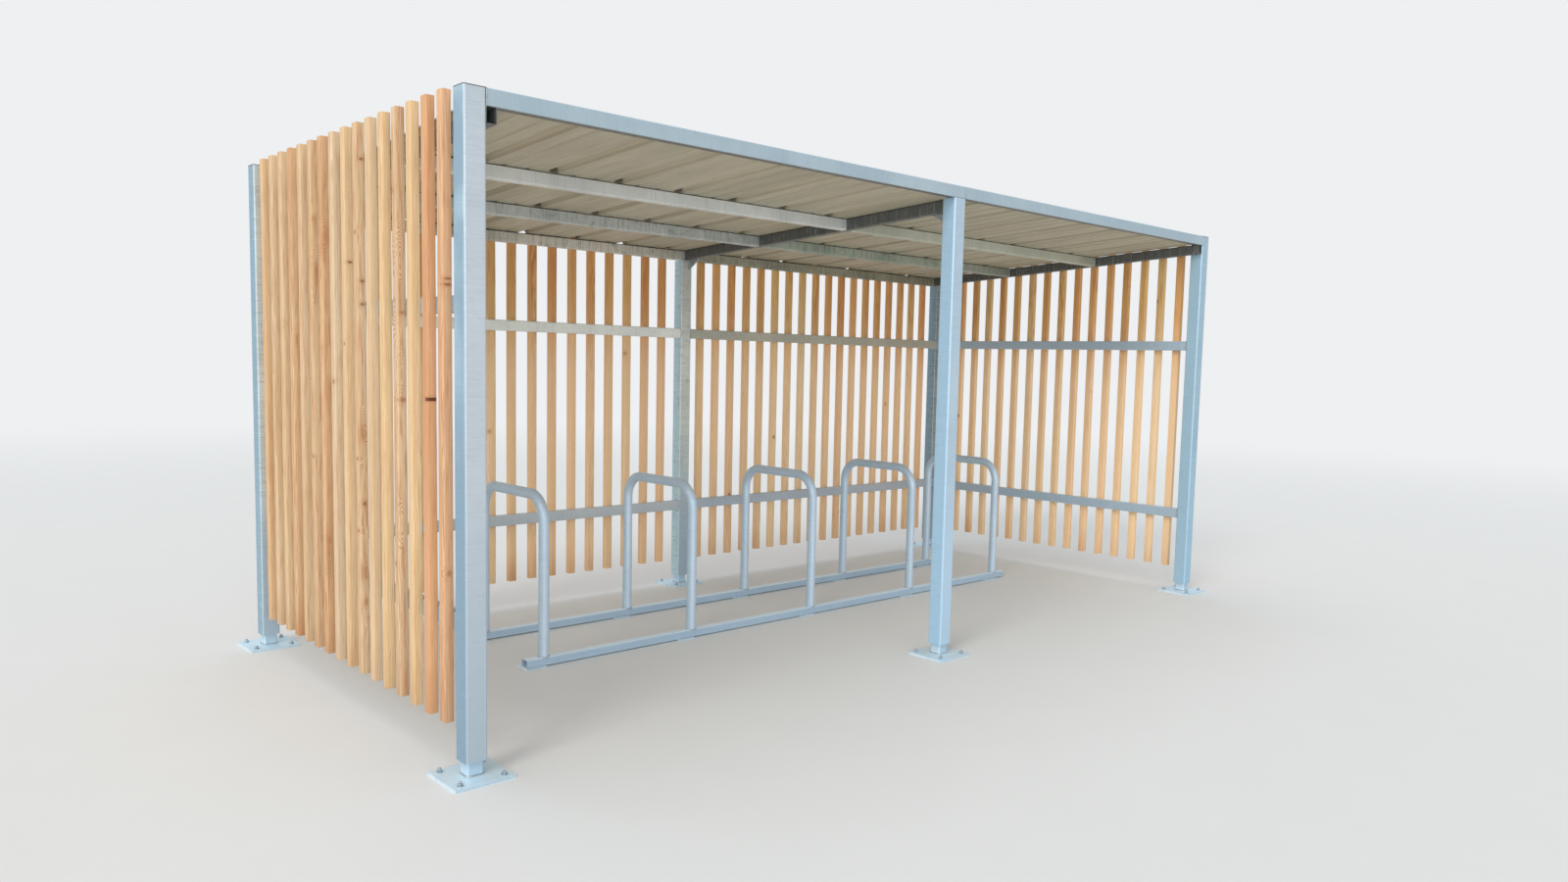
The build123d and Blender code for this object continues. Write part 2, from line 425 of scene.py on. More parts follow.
    def soiled_and_painted_light(self, graph: FinishGraph, colour: Socket, place: Socket, patches: Socket) -> Socket:
        """Dark specks, painted highlight on corners, painted shadow on what looks up, and dust near the
        ground thinned by painted shade towards -Y.

        Args:
            graph: Graph of the finish.
            colour: Colour so far.
            place: Place on the surface.
            patches: Pattern of the dust, 0 to 1.

        Returns:
            The colour.
        """
        if self.specks > 0:
            fine = graph.noise(place, self.specks_per_metre, 2.0, 0.5)
            dots = graph.maths("MULTIPLY", graph.remap(fine, 0.60, 0.70), self.specks)
            colour = graph.blend(dots, colour, self.speck_colour)
        # Painted highlight on the rounded corners.
        if self.corner_highlight > 0:
            colour = graph.blend(self.corners(graph), colour, self.corner_highlight_colour)
        # Painted shadow on the faces that look up, which lie in the shade under the roof sheets.
        if self.painted_top_shadow > 0:
            upper = graph.remap(graph.normal_part(2), 0.15, 0.45, 0.0, self.painted_top_shadow)
            colour = graph.blend(upper, colour, self.painted_top_shadow_colour)
        if self.dust_height > 0:
            height = graph.split(place)[2]
            near_floor = graph.remap(height, self.dust_height * 0.3, self.dust_height, 1.0, 0.0)
            dusty = graph.maths("MULTIPLY", near_floor, graph.remap(patches, 0.3, 0.6, 0.30, 0.85))
            # Dust near the ground is real; its thinning on the faces towards -Y is painted shade.
            dust_share_by_side_light = graph.remap(self.facing(graph, 1, -1), 0.0, 1.0, 1.0, 0.4)
            colour = graph.blend(graph.maths("MULTIPLY", dusty, dust_share_by_side_light), colour, self.dust_colour)
        return colour

    def facing(self, graph: FinishGraph, axis: int, sign: int) -> Socket:
        """Share of the colour for faces that look one way.

        Args:
            graph: Graph of the finish.
            axis: Axis that the faces look along.
            sign: Way along it, 1 or -1.

        Returns:
            The share, 0 to 1.
        """
        part = graph.maths("MULTIPLY", graph.normal_part(axis), float(sign))
        return graph.remap(part, 0.3, 0.9)

    def corners(self, graph: FinishGraph) -> Socket:
        """Share of the painted highlight, which lies on the rounded corners of square bars.

        Args:
            graph: Graph of the finish.

        Returns:
            The share, 0 to 1.
        """
        parts = [graph.maths("ABSOLUTE", graph.normal_part(axis)) for axis in range(3)]
        flattest = graph.maths("MAXIMUM", graph.maths("MAXIMUM", parts[0], parts[1]), parts[2])
        return graph.remap(flattest, 0.97, 0.80, 0.0, self.corner_highlight)


@dataclass(frozen=True)
class CoatedSheet:
    """Roof sheet: pale coat on the weather side, warm grey backing coat below, with painted light and shadow
    in the ribs.
    """

    bearing_lines: tuple[float, ...]
    height_at_centre: float
    fall: float
    weather: Shade = shade(176, 180, 178)
    weather_cloud: Shade = shade(146, 146, 138)
    weather_streak: Shade = shade(110, 108, 98)
    backing: Shade = shade(195, 187, 164)
    backing_deep: Shade = shade(178, 170, 148)
    backing_streak: Shade = shade(150, 142, 124)
    painted_rib_light: Shade = shade(222, 214, 192)
    painted_rib_shadow: Shade = shade(58, 54, 48)
    rib_heights: tuple[float, float] = (0.005, 0.016)
    rib_shadow_reach: tuple[float, float] = (0.024, 0.040)
    painted_rib_light_span: tuple[float, float] = (0.3, -0.9)

    def in_ribs(self, graph: FinishGraph) -> Socket:
        """Which points lie inside the ribs, above the flats of the sheet.

        Args:
            graph: Graph of the finish.

        Returns:
            Share of the rib, 0 on the flats to 1 inside it.
        """
        _, y, z = graph.split(graph.place())
        drop = graph.maths("MULTIPLY", y, self.fall)
        rise = graph.maths("ADD", graph.maths("SUBTRACT", z, self.height_at_centre), drop)
        return graph.remap(rise, *self.rib_heights)

    def over_bearings(self, graph: FinishGraph) -> Socket:
        """Which points lie over the purlins and the back beam, where the ribs get their painted shadow.

        Args:
            graph: Graph of the finish.

        Returns:
            Nearness, 0 away from them to 1 over them.
        """
        y = graph.split(graph.place())[1]
        nearest: Socket | float = 1.0
        for line in self.bearing_lines:
            gap = graph.maths("ABSOLUTE", graph.maths("SUBTRACT", y, line))
            nearest = graph.maths("MINIMUM", nearest, gap)
        return graph.remap(nearest, *self.rib_shadow_reach, 1.0, 0.0)

    def underside(self, graph: FinishGraph, bands: Socket, fine: Socket) -> Socket:
        """Backing coat, with painted light inside the ribs towards the front and painted shadow where a
        member shuts them.

        Args:
            graph: Graph of the finish.
            bands: Broad bands down the slope, 0 to 1.
            fine: Fine streaks down the slope, 0 to 1.

        Returns:
            The colour.
        """
        colour = graph.blend(graph.remap(bands, 0.3, 0.7), self.backing, self.backing_deep)
        colour = graph.blend(graph.remap(fine, 0.3, 0.7, 0.0, 0.10), colour, self.backing_streak)
        ribs = self.in_ribs(graph)
        # Painted light inside the ribs, stronger towards the front.
        forward = graph.remap(graph.split(graph.place())[1], *self.painted_rib_light_span, 0.10, 0.62)
        colour = graph.blend(graph.maths("MULTIPLY", ribs, forward), colour, self.painted_rib_light)
        # Painted shadow inside the ribs where a purlin or the back beam closes them.
        rib_shadow = graph.maths("MULTIPLY", ribs, self.over_bearings(graph))
        return graph.blend(graph.maths("MULTIPLY", rib_shadow, 0.80), colour, self.painted_rib_shadow)

    def build(self) -> bpy.types.Material:
        """Make the finish.

        Returns:
            The material.
        """
        graph = FinishGraph("coated_sheet")
        place = graph.place()
        bands = graph.noise(graph.stretch(place, (9.0, 1.1, 9.0)), 1.0, 3.0, 0.6)
        fine = graph.noise(graph.stretch(place, (160.0, 18.0, 160.0)), 1.0, 2.0)
        clouds = graph.noise(place, 2.2, 3.0)
        below = self.underside(graph, bands, fine)
        above = graph.blend(graph.remap(clouds, 0.35, 0.75, 0.0, 0.4), self.weather, self.weather_cloud)
        above = graph.blend(graph.remap(fine, 0.4, 0.8, 0.0, 0.12), above, self.weather_streak)
        colour = graph.blend(graph.remap(graph.normal_part(2), -0.02, 0.02), below, above)
        graph.surface(Base_Color=colour, Roughness=graph.remap(bands, 0.2, 0.8, 0.42, 0.56), Metallic=0.15)
        graph.relief(fine, 0.0003, 0.3)
        return graph.material


@dataclass(frozen=True)
class Knot:
    """One knot that shows on a batten: its place, its half sizes, and how it bends the grain."""

    place: tuple[float, float, float]
    half_width: float
    half_height: float
    dark: float
    pull: float
    straight: bool

    def reach(self, graph: FinishGraph, place: Socket) -> Socket:
        """Distance from the knot's middle, counted in its half sizes.

        Args:
            graph: Graph of the finish.
            place: Place on the surface.

        Returns:
            The distance, 1 at the knot's edge.
        """
        gap = graph.node("ShaderNodeVectorMath", {0: place, 1: self.place}, operation="SUBTRACT").outputs[0]
        scaled = graph.stretch(gap, (1 / self.half_width, 1 / self.half_width, 1 / self.half_height))
        if self.straight:
            across, through, up = (graph.maths("ABSOLUTE", part) for part in graph.split(scaled))
            return graph.maths("MAXIMUM", graph.maths("MAXIMUM", across, through), up)
        return graph.node("ShaderNodeVectorMath", {0: scaled}, operation="LENGTH").outputs["Value"]


@dataclass(frozen=True)
class Larch:
    """Planed larch: growth rings round a pith, fibre streaks, knots and darker cut ends, with painted light
    and shade by height on the inner faces.
    """

    name: str
    knots: tuple[Knot, ...] = ()
    # The next fields paint light low down and shade high up on the faces inside the shelter.
    painted_low_light: float = 0.0
    outward_axis: int = 0
    ring_spacing: float = 0.0050
    ring_sway: float = 0.030
    ring_wobble: float = 0.004
    ring_bow: float = 0.013
    knot_cell: float = 0.15
    swirl_reach: tuple[float, float] = (0.05, 0.24)
    halo_reach: tuple[float, float] = (0.05, 0.12)
    core_reach: tuple[float, float] = (0.028, 0.058)
    sway_scale: Scale = (9.0, 9.0, 1.6)
    wobble_scale: Scale = (70.0, 70.0, 9.0)
    fading_scale: Scale = (22.0, 22.0, 0.9)
    flame_scale: Scale = (85.0, 85.0, 7.0)
    fibre_scale: Scale = (420.0, 420.0, 9.0)
    broad_scale: Scale = (34.0, 34.0, 1.3)
    painted_low_light_heights: tuple[float, float] = (1.85, 1.30)
    painted_roof_shade_heights: tuple[float, float] = (1.35, 1.95)
    strong_line: Shade = shade(172, 112, 74)
    flame: Shade = shade(186, 130, 88)
    swirl_line: Shade = shade(176, 118, 78)
    dark_fibre: Shade = shade(170, 116, 78)
    pale_fibre: Shade = shade(250, 234, 208)
    painted_low_light_colour: Shade = shade(255, 220, 174)
    painted_roof_shade: Shade = shade(255, 243, 203)
    knot_halo: Shade = shade(190, 130, 84)
    knot_core: Shade = shade(104, 56, 30)
    end_pale: Shade = shade(214, 172, 130)
    end_ring: Shade = shade(150, 100, 62)
    damp: Shade = shade(196, 132, 84)

    def scattered_knots(self, graph: FinishGraph) -> tuple[Socket, Socket, Socket]:
        """Knots at random places, as many as each batten's own share allows.

        Args:
            graph: Graph of the finish.

        Returns:
            Swirl of the grain, brown halo and dark core, 0 to 1 each.
        """
        place = graph.attribute("knot_place", "Vector")
        near = graph.cells(place, 1 / self.knot_cell)
        lottery = graph.split(graph.cells(place, 1 / self.knot_cell, "Color"))[0]
        chosen = graph.maths("LESS_THAN", lottery, graph.attribute("knotty"))
        swirl = graph.maths("MULTIPLY", graph.remap(near, *self.swirl_reach, 1.0, 0.0), chosen)
        halo = graph.maths("MULTIPLY", graph.remap(near, *self.halo_reach, 0.50, 0.0), chosen)
        core = graph.maths("MULTIPLY", graph.remap(near, *self.core_reach, 0.62, 0.0), chosen)
        return swirl, halo, core

    def listed_knots(self, graph: FinishGraph,
                     found: tuple[Socket, Socket, Socket]) -> tuple[Socket, Socket, Socket]:
        """Knots of the list, added to the scattered ones.

        Args:
            graph: Graph of the finish.
            found: Swirl, halo and core so far.

        Returns:
            Swirl, halo and core with the listed knots.
        """
        swirl, halo, core = found
        place = graph.place()
        rough_edge = graph.noise(place, 160.0, 2.0)
        for knot in self.knots:
            reach = knot.reach(graph, place)
            if knot.dark > 0:
                ragged = graph.maths("MULTIPLY", rough_edge, 0.1 if knot.straight else 0.5)
                edge = graph.maths("ADD", reach, ragged)
                core = graph.maths("MAXIMUM", core, graph.remap(edge, 1.0, 1.4, knot.dark, 0.0))
                halo = graph.maths("MAXIMUM", halo, graph.remap(reach, 1.0, 2.4, 0.5, 0.0))
            swirl = graph.maths("MAXIMUM", swirl, graph.remap(reach, 0.8, 5.0, knot.pull, 0.0))
        return swirl, halo, core

    def ring_lines(self, graph: FinishGraph, log: Socket, swirl: Socket) -> Socket:
        """Dark lines of the growth rings, which sway along the log and bow round its knots.

        Args:
            graph: Graph of the finish.
            log: Place in the log.
            swirl: Pull of the knots on the grain.

        Returns:
            Share of the dark wood, 0 to 1.
        """
        sway = graph.noise(graph.stretch(log, self.sway_scale), 1.0, 3.0, 0.55)
        wobble = graph.noise(graph.stretch(log, self.wobble_scale), 1.0, 2.0, 0.5)
        x, y, _ = graph.split(log)
        squares = graph.maths("ADD", graph.maths("POWER", x, 2.0), graph.maths("POWER", y, 2.0))
        radius = graph.maths("SQRT", squares)
        for bend, size in ((sway, self.ring_sway), (wobble, self.ring_wobble), (swirl, self.ring_bow)):
            radius = graph.maths("ADD", radius, graph.maths("MULTIPLY", bend, size))
        ring = graph.maths("FRACT", graph.maths("DIVIDE", radius, self.ring_spacing))
        fade_in, fade_out = graph.remap(ring, 0.30, 0.86), graph.remap(ring, 0.90, 1.0, 1.0, 0.0)
        return graph.maths("MULTIPLY", fade_in, fade_out)

    def figured(self, graph: FinishGraph, colour: Socket, late_wood: Socket,
                lines: Socket, swirl: Socket) -> Socket:
        """Ring lines on the wood, with flames beside them on the livelier battens.

        Args:
            graph: Graph of the finish.
            colour: Colour so far.
            late_wood: Colour of the ring lines.
            lines: Share of the ring lines, 0 to 1.
            swirl: Pull of the knots on the grain.

        Returns:
            The colour.
        """
        log = graph.attribute("log_place", "Vector")
        fading = graph.noise(graph.stretch(log, self.fading_scale), 1.0, 2.0)
        strength = graph.remap(fading, 0.3, 0.7, 0.25, 0.95)
        lively = graph.remap(graph.attribute("knotty"), 0.05, 0.45)
        plain = graph.maths("MULTIPLY", lines, graph.maths("MULTIPLY", strength, 0.75))
        colour = graph.blend(plain, colour, late_wood)
        strong = graph.maths("MULTIPLY", lines, graph.maths("MULTIPLY", strength, lively))
        colour = graph.blend(graph.maths("MULTIPLY", strong, 0.75), colour, self.strong_line)
        tongues = graph.noise(graph.stretch(log, self.flame_scale), 1.0, 2.0, 0.5)
        most = graph.remap(lively, 0.0, 1.0, 0.12, 0.62)
        flames = graph.maths("MULTIPLY", graph.remap(tongues, 0.50, 0.68), most)
        colour = graph.blend(flames, colour, self.flame)
        bowed = graph.maths("MULTIPLY", lines, graph.remap(swirl, 0.1, 0.6, 0.0, 0.4))
        return graph.blend(bowed, colour, self.swirl_line)

    def painted_light_by_height(self, graph: FinishGraph, colour: Socket) -> Socket:
        """Painted light on the inner faces low down, and painted shade on them higher up under the roof.

        Args:
            graph: Graph of the finish.
            colour: Colour so far.

        Returns:
            The colour.
        """
        height = graph.split(graph.place())[2]
        inside = graph.remap(graph.normal_part(self.outward_axis), 0.2, 0.8, 1.0, 0.0)
        low_light = graph.maths("MULTIPLY", graph.remap(height, *self.painted_low_light_heights, 0.0, self.painted_low_light), inside)
        colour = graph.blend(low_light, colour, self.painted_low_light_colour)
        roof_shade = graph.maths("MULTIPLY", graph.remap(height, *self.painted_roof_shade_heights), inside)
        return graph.blend(roof_shade, colour, self.painted_roof_shade, "MULTIPLY")

    def build(self) -> bpy.types.Material:
        """Make the finish. It reads the place of each point in its log from the mesh.

        Returns:
            The material.
        """
        graph = FinishGraph(self.name)
        log = graph.attribute("log_place", "Vector")
        tone = graph.attribute("tone")
        swirl, halo, core = self.listed_knots(graph, self.scattered_knots(graph))
        lines = self.ring_lines(graph, log, swirl)
        fibre = graph.noise(graph.stretch(log, self.fibre_scale), 1.0, 3.0, 0.6)
        broad = graph.noise(graph.stretch(log, self.broad_scale), 1.0, 3.0, 0.55)

        early_wood = graph.ramp(tone, [(name.value, wood) for name, wood in EARLY_WOOD.items()])
        late_wood = graph.ramp(tone, [(name.value, wood) for name, wood in LATE_WOOD.items()])
        colour = graph.blend(graph.remap(broad, 0.32, 0.74, 0.0, 0.60), early_wood, late_wood)
        colour = self.figured(graph, colour, late_wood, lines, swirl)
        colour = graph.blend(graph.remap(fibre, 0.42, 0.75, 0.0, 0.34), colour, self.dark_fibre)
        colour = graph.blend(graph.remap(fibre, 0.42, 0.25, 0.0, 0.22), colour, self.pale_fibre)
        # Painted light low down and painted shade high up, on the faces inside the shelter.
        if self.painted_low_light > 0:
            colour = self.painted_light_by_height(graph, colour)
        colour = graph.blend(halo, colour, self.knot_halo)
        colour = graph.blend(core, colour, self.knot_core)

        end_rings = graph.blend(graph.maths("MULTIPLY", lines, 0.7), self.end_pale, self.end_ring)
        colour = graph.blend(graph.attribute("cut_end"), colour, end_rings)
        soaked = graph.maths("MULTIPLY", graph.attribute("damp"), graph.remap(broad, 0.25, 0.65, 0.25, 0.7))
        colour = graph.blend(soaked, colour, self.damp)
        graph.surface(Base_Color=colour, Roughness=graph.remap(lines, 0.0, 1.0, 0.70, 0.58))
        graph.shader.inputs["Specular IOR Level"].default_value = 0.35
        relief = graph.maths("ADD", graph.maths("MULTIPLY", fibre, 0.6), graph.maths("MULTIPLY", lines, 0.4))
        graph.relief(relief, 0.0005, 0.45)
        return graph.material


@dataclass(frozen=True)
class PlainMetal:
    """Small parts in one plain colour with light handling marks: fittings, weld beads, strips of painted gap
    shadow and washers.
    """

    name: str
    colour: Shade
    worn: Shade
    metal: float
    rough: tuple[float, float]

    def build(self) -> bpy.types.Material:
        """Make the finish.

        Returns:
            The material.
        """
        graph = FinishGraph(self.name)
        place = graph.place()
        marks = graph.noise(place, 140.0, 4.0, 0.6)
        spread = graph.noise(place, 22.0, 2.0)
        colour = graph.blend(graph.remap(marks, 0.35, 0.7), self.colour, self.worn)
        colour = graph.blend(graph.remap(spread, 0.4, 0.8, 0.0, 0.35), colour, self.worn)
        roughness = graph.remap(marks, 0.3, 0.7, *self.rough)
        graph.surface(Base_Color=colour, Roughness=roughness, Metallic=self.metal)
        graph.relief(marks, 0.0003, 0.4)
        return graph.material


@dataclass(frozen=True)
class MouldedPlastic:
    """Black insert caps, slightly chalked by the weather."""

    colour: Shade = shade(38, 39, 41)
    chalk: Shade = shade(86, 86, 86)

    def build(self) -> bpy.types.Material:
        """Make the finish.

        Returns:
            The material.
        """
        graph = FinishGraph("moulded_plastic")
        place = graph.place()
        clouds = graph.noise(place, 30.0, 3.0)
        grain = graph.noise(place, 900.0, 2.0)
        colour = graph.blend(graph.remap(clouds, 0.45, 0.8, 0.0, 0.5), self.colour, self.chalk)
        graph.surface(Base_Color=colour, Roughness=graph.remap(clouds, 0.3, 0.8, 0.45, 0.62))
        graph.relief(grain, 0.0002, 0.3)
        return graph.material


# Weld beads. Step between rings, swell, unevenness and size at an open end count in the bead's radius.
BEAD_SIDES = 6
BEAD_STEP = 1.6
BEAD_SWELL = 0.16
BEAD_UNEVEN = 0.10
BEAD_END = 0.55

# Turn of the swell from ring to ring in radians, and a direction that no bead runs in.
BEAD_SWELL_TURN = 2.1
OFF_THE_PATH = Vector((0.21, 0.34, 0.91))


@dataclass
class MeshPile:
    """Points and faces of one piece, gathered shape by shape."""

    points: list[Vector] = field(default_factory=list)
    faces: list[tuple[int, ...]] = field(default_factory=list)

    def add(self, points: Sequence[Vector], faces: Sequence[Sequence[int]]) -> None:
        """Add one shape.

        Args:
            points: Its points.
            faces: Its faces, numbered from its own first point.
        """
        start = len(self.points)
        self.points.extend(points)
        self.faces.extend(tuple(start + index for index in face) for face in faces)

    def turned(self, base: Vector, outline: Sequence[tuple[float, float]], sides: int,
               rotation: Matrix | None = None, turn: float = 0.0) -> None:
        """Add a closed turned shape that stands on a base point.

        Args:
            base: Point that its axis starts from.
            outline: Radius and height of each corner of its side, from the bottom up.
            sides: Number of flats round the axis.
            rotation: Direction of the axis, up if left out.
            turn: Turn about the axis in radians.
        """
        rotation = rotation or Matrix.Identity(3)
        points = []
        for radius, height in outline:
            for i in range(sides):
                angle = turn + 2 * math.pi * i / sides
                local = Vector((radius * math.cos(angle), radius * math.sin(angle), height))
                points.append(base + rotation @ local)
        faces = []
        top = (len(outline) - 1) * sides
        for lower in range(0, top, sides):
            upper = lower + sides
            for i in range(sides):
                j = (i + 1) % sides
                faces.append((lower + i, lower + j, upper + j, upper + i))
        faces.append(tuple(reversed(range(sides))))
        faces.append(tuple(range(top, top + sides)))
        self.add(points, faces)

    def bead(self, path: Sequence[Vector], radius: float, ripple: random.Random,
             closed: bool = False) -> None:
        """Add a weld bead that follows a path, with the small ripples of a hand-laid weld.

        Args:
            path: Corners of the path.
            radius: Half its thickness.
            ripple: Source of its unevenness.
            closed: Whether it ends where it starts.
        """
        corners = list(path) + ([path[0]] if closed else [])
        line = []
        for here, there in zip(corners, corners[1:]):
            count = max(1, round((there - here).length / (radius * BEAD_STEP)))
            line.extend(here.lerp(there, i / count) for i in range(count))
        if not closed:
            line.append(corners[-1])
        points = []
        last = len(line) - 1
        for i, point in enumerate(line):
            before = line[i - 1] if closed or i > 0 else line[0]
            after = line[(i + 1) % len(line)] if closed or i < last else line[last]
            along = (after - before).normalized()
            side = along.cross(OFF_THE_PATH).normalized()
            top = side.cross(along)
            uneven = ripple.uniform(-BEAD_UNEVEN, BEAD_UNEVEN)
            size = radius * (1.0 + BEAD_SWELL * math.sin(i * BEAD_SWELL_TURN) + uneven)
            if not closed and i in (0, last):
                size *= BEAD_END
            for k in range(BEAD_SIDES):
                angle = 2 * math.pi * k / BEAD_SIDES
                points.append(point + size * (math.cos(angle) * side + math.sin(angle) * top))
        faces = []
        for i in range(len(line) if closed else last):
            here, there = i * BEAD_SIDES, (i + 1) % len(line) * BEAD_SIDES
            for k in range(BEAD_SIDES):
                n = (k + 1) % BEAD_SIDES
                faces.append((here + k, here + n, there + n, there + k))
        if not closed:
            faces.append(tuple(reversed(range(BEAD_SIDES))))
            faces.append(tuple(last * BEAD_SIDES + k for k in range(BEAD_SIDES)))
        self.add(points, faces)

    def plate(self, centre: Vector, size: Vector, ease: float) -> None:
        """Add a thin block with its upright edges cut off at the corners.

        Args:
            centre: Middle of the block.
            size: Its three sizes.
            ease: Cut taken off each corner.
        """
        half = size / 2
        ring = []
        for sx, sy in ((1, 1), (-1, 1), (-1, -1), (1, -1)):
            first = Vector((sx * (half.x - ease), sy * half.y, 0))
            second = Vector((sx * half.x, sy * (half.y - ease), 0))
            ring.extend((second, first) if sx * sy > 0 else (first, second))
        count = len(ring)
        points = [centre + point + Vector((0, 0, z)) for z in (-half.z, half.z) for point in ring]
        faces = [(i, (i + 1) % count, count + (i + 1) % count, count + i) for i in range(count)]
        faces.append(tuple(reversed(range(count))))
        faces.append(tuple(range(count, 2 * count)))
        self.add(points, faces)

    def piece(self, name: str, material: bpy.types.Material, slot: Slot, smooth: float = 35.0,
              flat_over: float = 0.001) -> bpy.types.Object:
        """Turn the pile into one piece on the shelter.

        Args:
            name: Name of the piece.
            material: Its finish.
            slot: Slot of the record that it belongs to; not used.
            smooth: Largest angle in degrees between faces that shade as one.
            flat_over: Area in square metres above which a face shades flat.

        Returns:
            The piece.
        """
        mesh = bpy.data.meshes.new(name)
        mesh.from_pydata([tuple(point) for point in self.points], [], self.faces)
        mesh.update()
        mesh.polygons.foreach_set("use_smooth", [face.area < flat_over for face in mesh.polygons])
        mesh.set_sharp_from_angle(angle=math.radians(smooth))
        mesh.materials.append(material)
        piece = bpy.data.objects.new(name, mesh)
        bpy.context.scene.collection.objects.link(piece)
        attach(piece, "root")
        LOG.info("%s: %d faces", name, len(mesh.polygons))
        return piece


def dress(node: str, material: bpy.types.Material) -> None:
    """Give a CAD node its finish.

    Args:
        node: Name of the node.
        material: The finish.
    """
    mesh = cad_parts[node].data
    mesh.materials.clear()
    mesh.materials.append(material)


def centre_of(node: str) -> Vector:
    """Middle of a CAD node's box."""
    low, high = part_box(node)
    return (low + high) / 2


@dataclass(frozen=True)
class AnchorBolt:
    """Stud, washer and nut of one floor anchor."""

    stud_radius: float
    nut_radius: float
    nut_height: float
    washer_radius: float
    washer_height: float
    stud_above_nut: float
    stud_lift: float = 0.0005
    stud_taper: float = 0.0015
    washer_ease: float = 0.0005
    nut_ease: float = 0.0012

    def add_to(self, pile: MeshPile, x: float, y: float, seat: float, turn: float) -> None:
        """Add the anchor to a pile.

        Args:
            pile: Pile of fittings.
            x: Place of its axis.
            y: Place of its axis.
            seat: Height of the plate that the washer lies on.
            turn: Turn of the nut in radians.
        """
        nut_seat = seat + self.washer_height
        stud = self.stud_radius
        length = nut_seat + self.nut_height + self.stud_above_nut - self.stud_lift
        shaft = ((stud, 0), (stud, length - self.stud_taper), (stud * 0.8, length))
        pile.turned(Vector((x, y, self.stud_lift)), shaft, sides=20)
        edge, rim = self.washer_radius, self.washer_ease
        washer = ((edge, 0), (edge, self.washer_height - rim), (edge - rim, self.washer_height))
        pile.turned(Vector((x, y, seat)), washer, sides=28)
        nut, ease, tall = self.nut_radius, self.nut_ease, self.nut_height
        hexagon = ((nut - ease, 0), (nut, ease), (nut, tall - ease), (nut - 1.6 * ease, tall))
        pile.turned(Vector((x, y, nut_seat)), hexagon, sides=6, turn=turn)


FOOT_ANCHOR = AnchorBolt(stud_radius=0.0050, nut_radius=0.0092, nut_height=0.0080,
                         washer_radius=0.0110, washer_height=0.0020, stud_above_nut=0.0060)
RACK_ANCHOR = replace(FOOT_ANCHOR, nut_radius=0.0096, washer_radius=0.0105)


@dataclass(frozen=True)
class Member:
    """Bars that share one zinc: how their nodes' names start, the finish and the direction they run in."""

    start: str
    finish: Galvanised
    run: Run


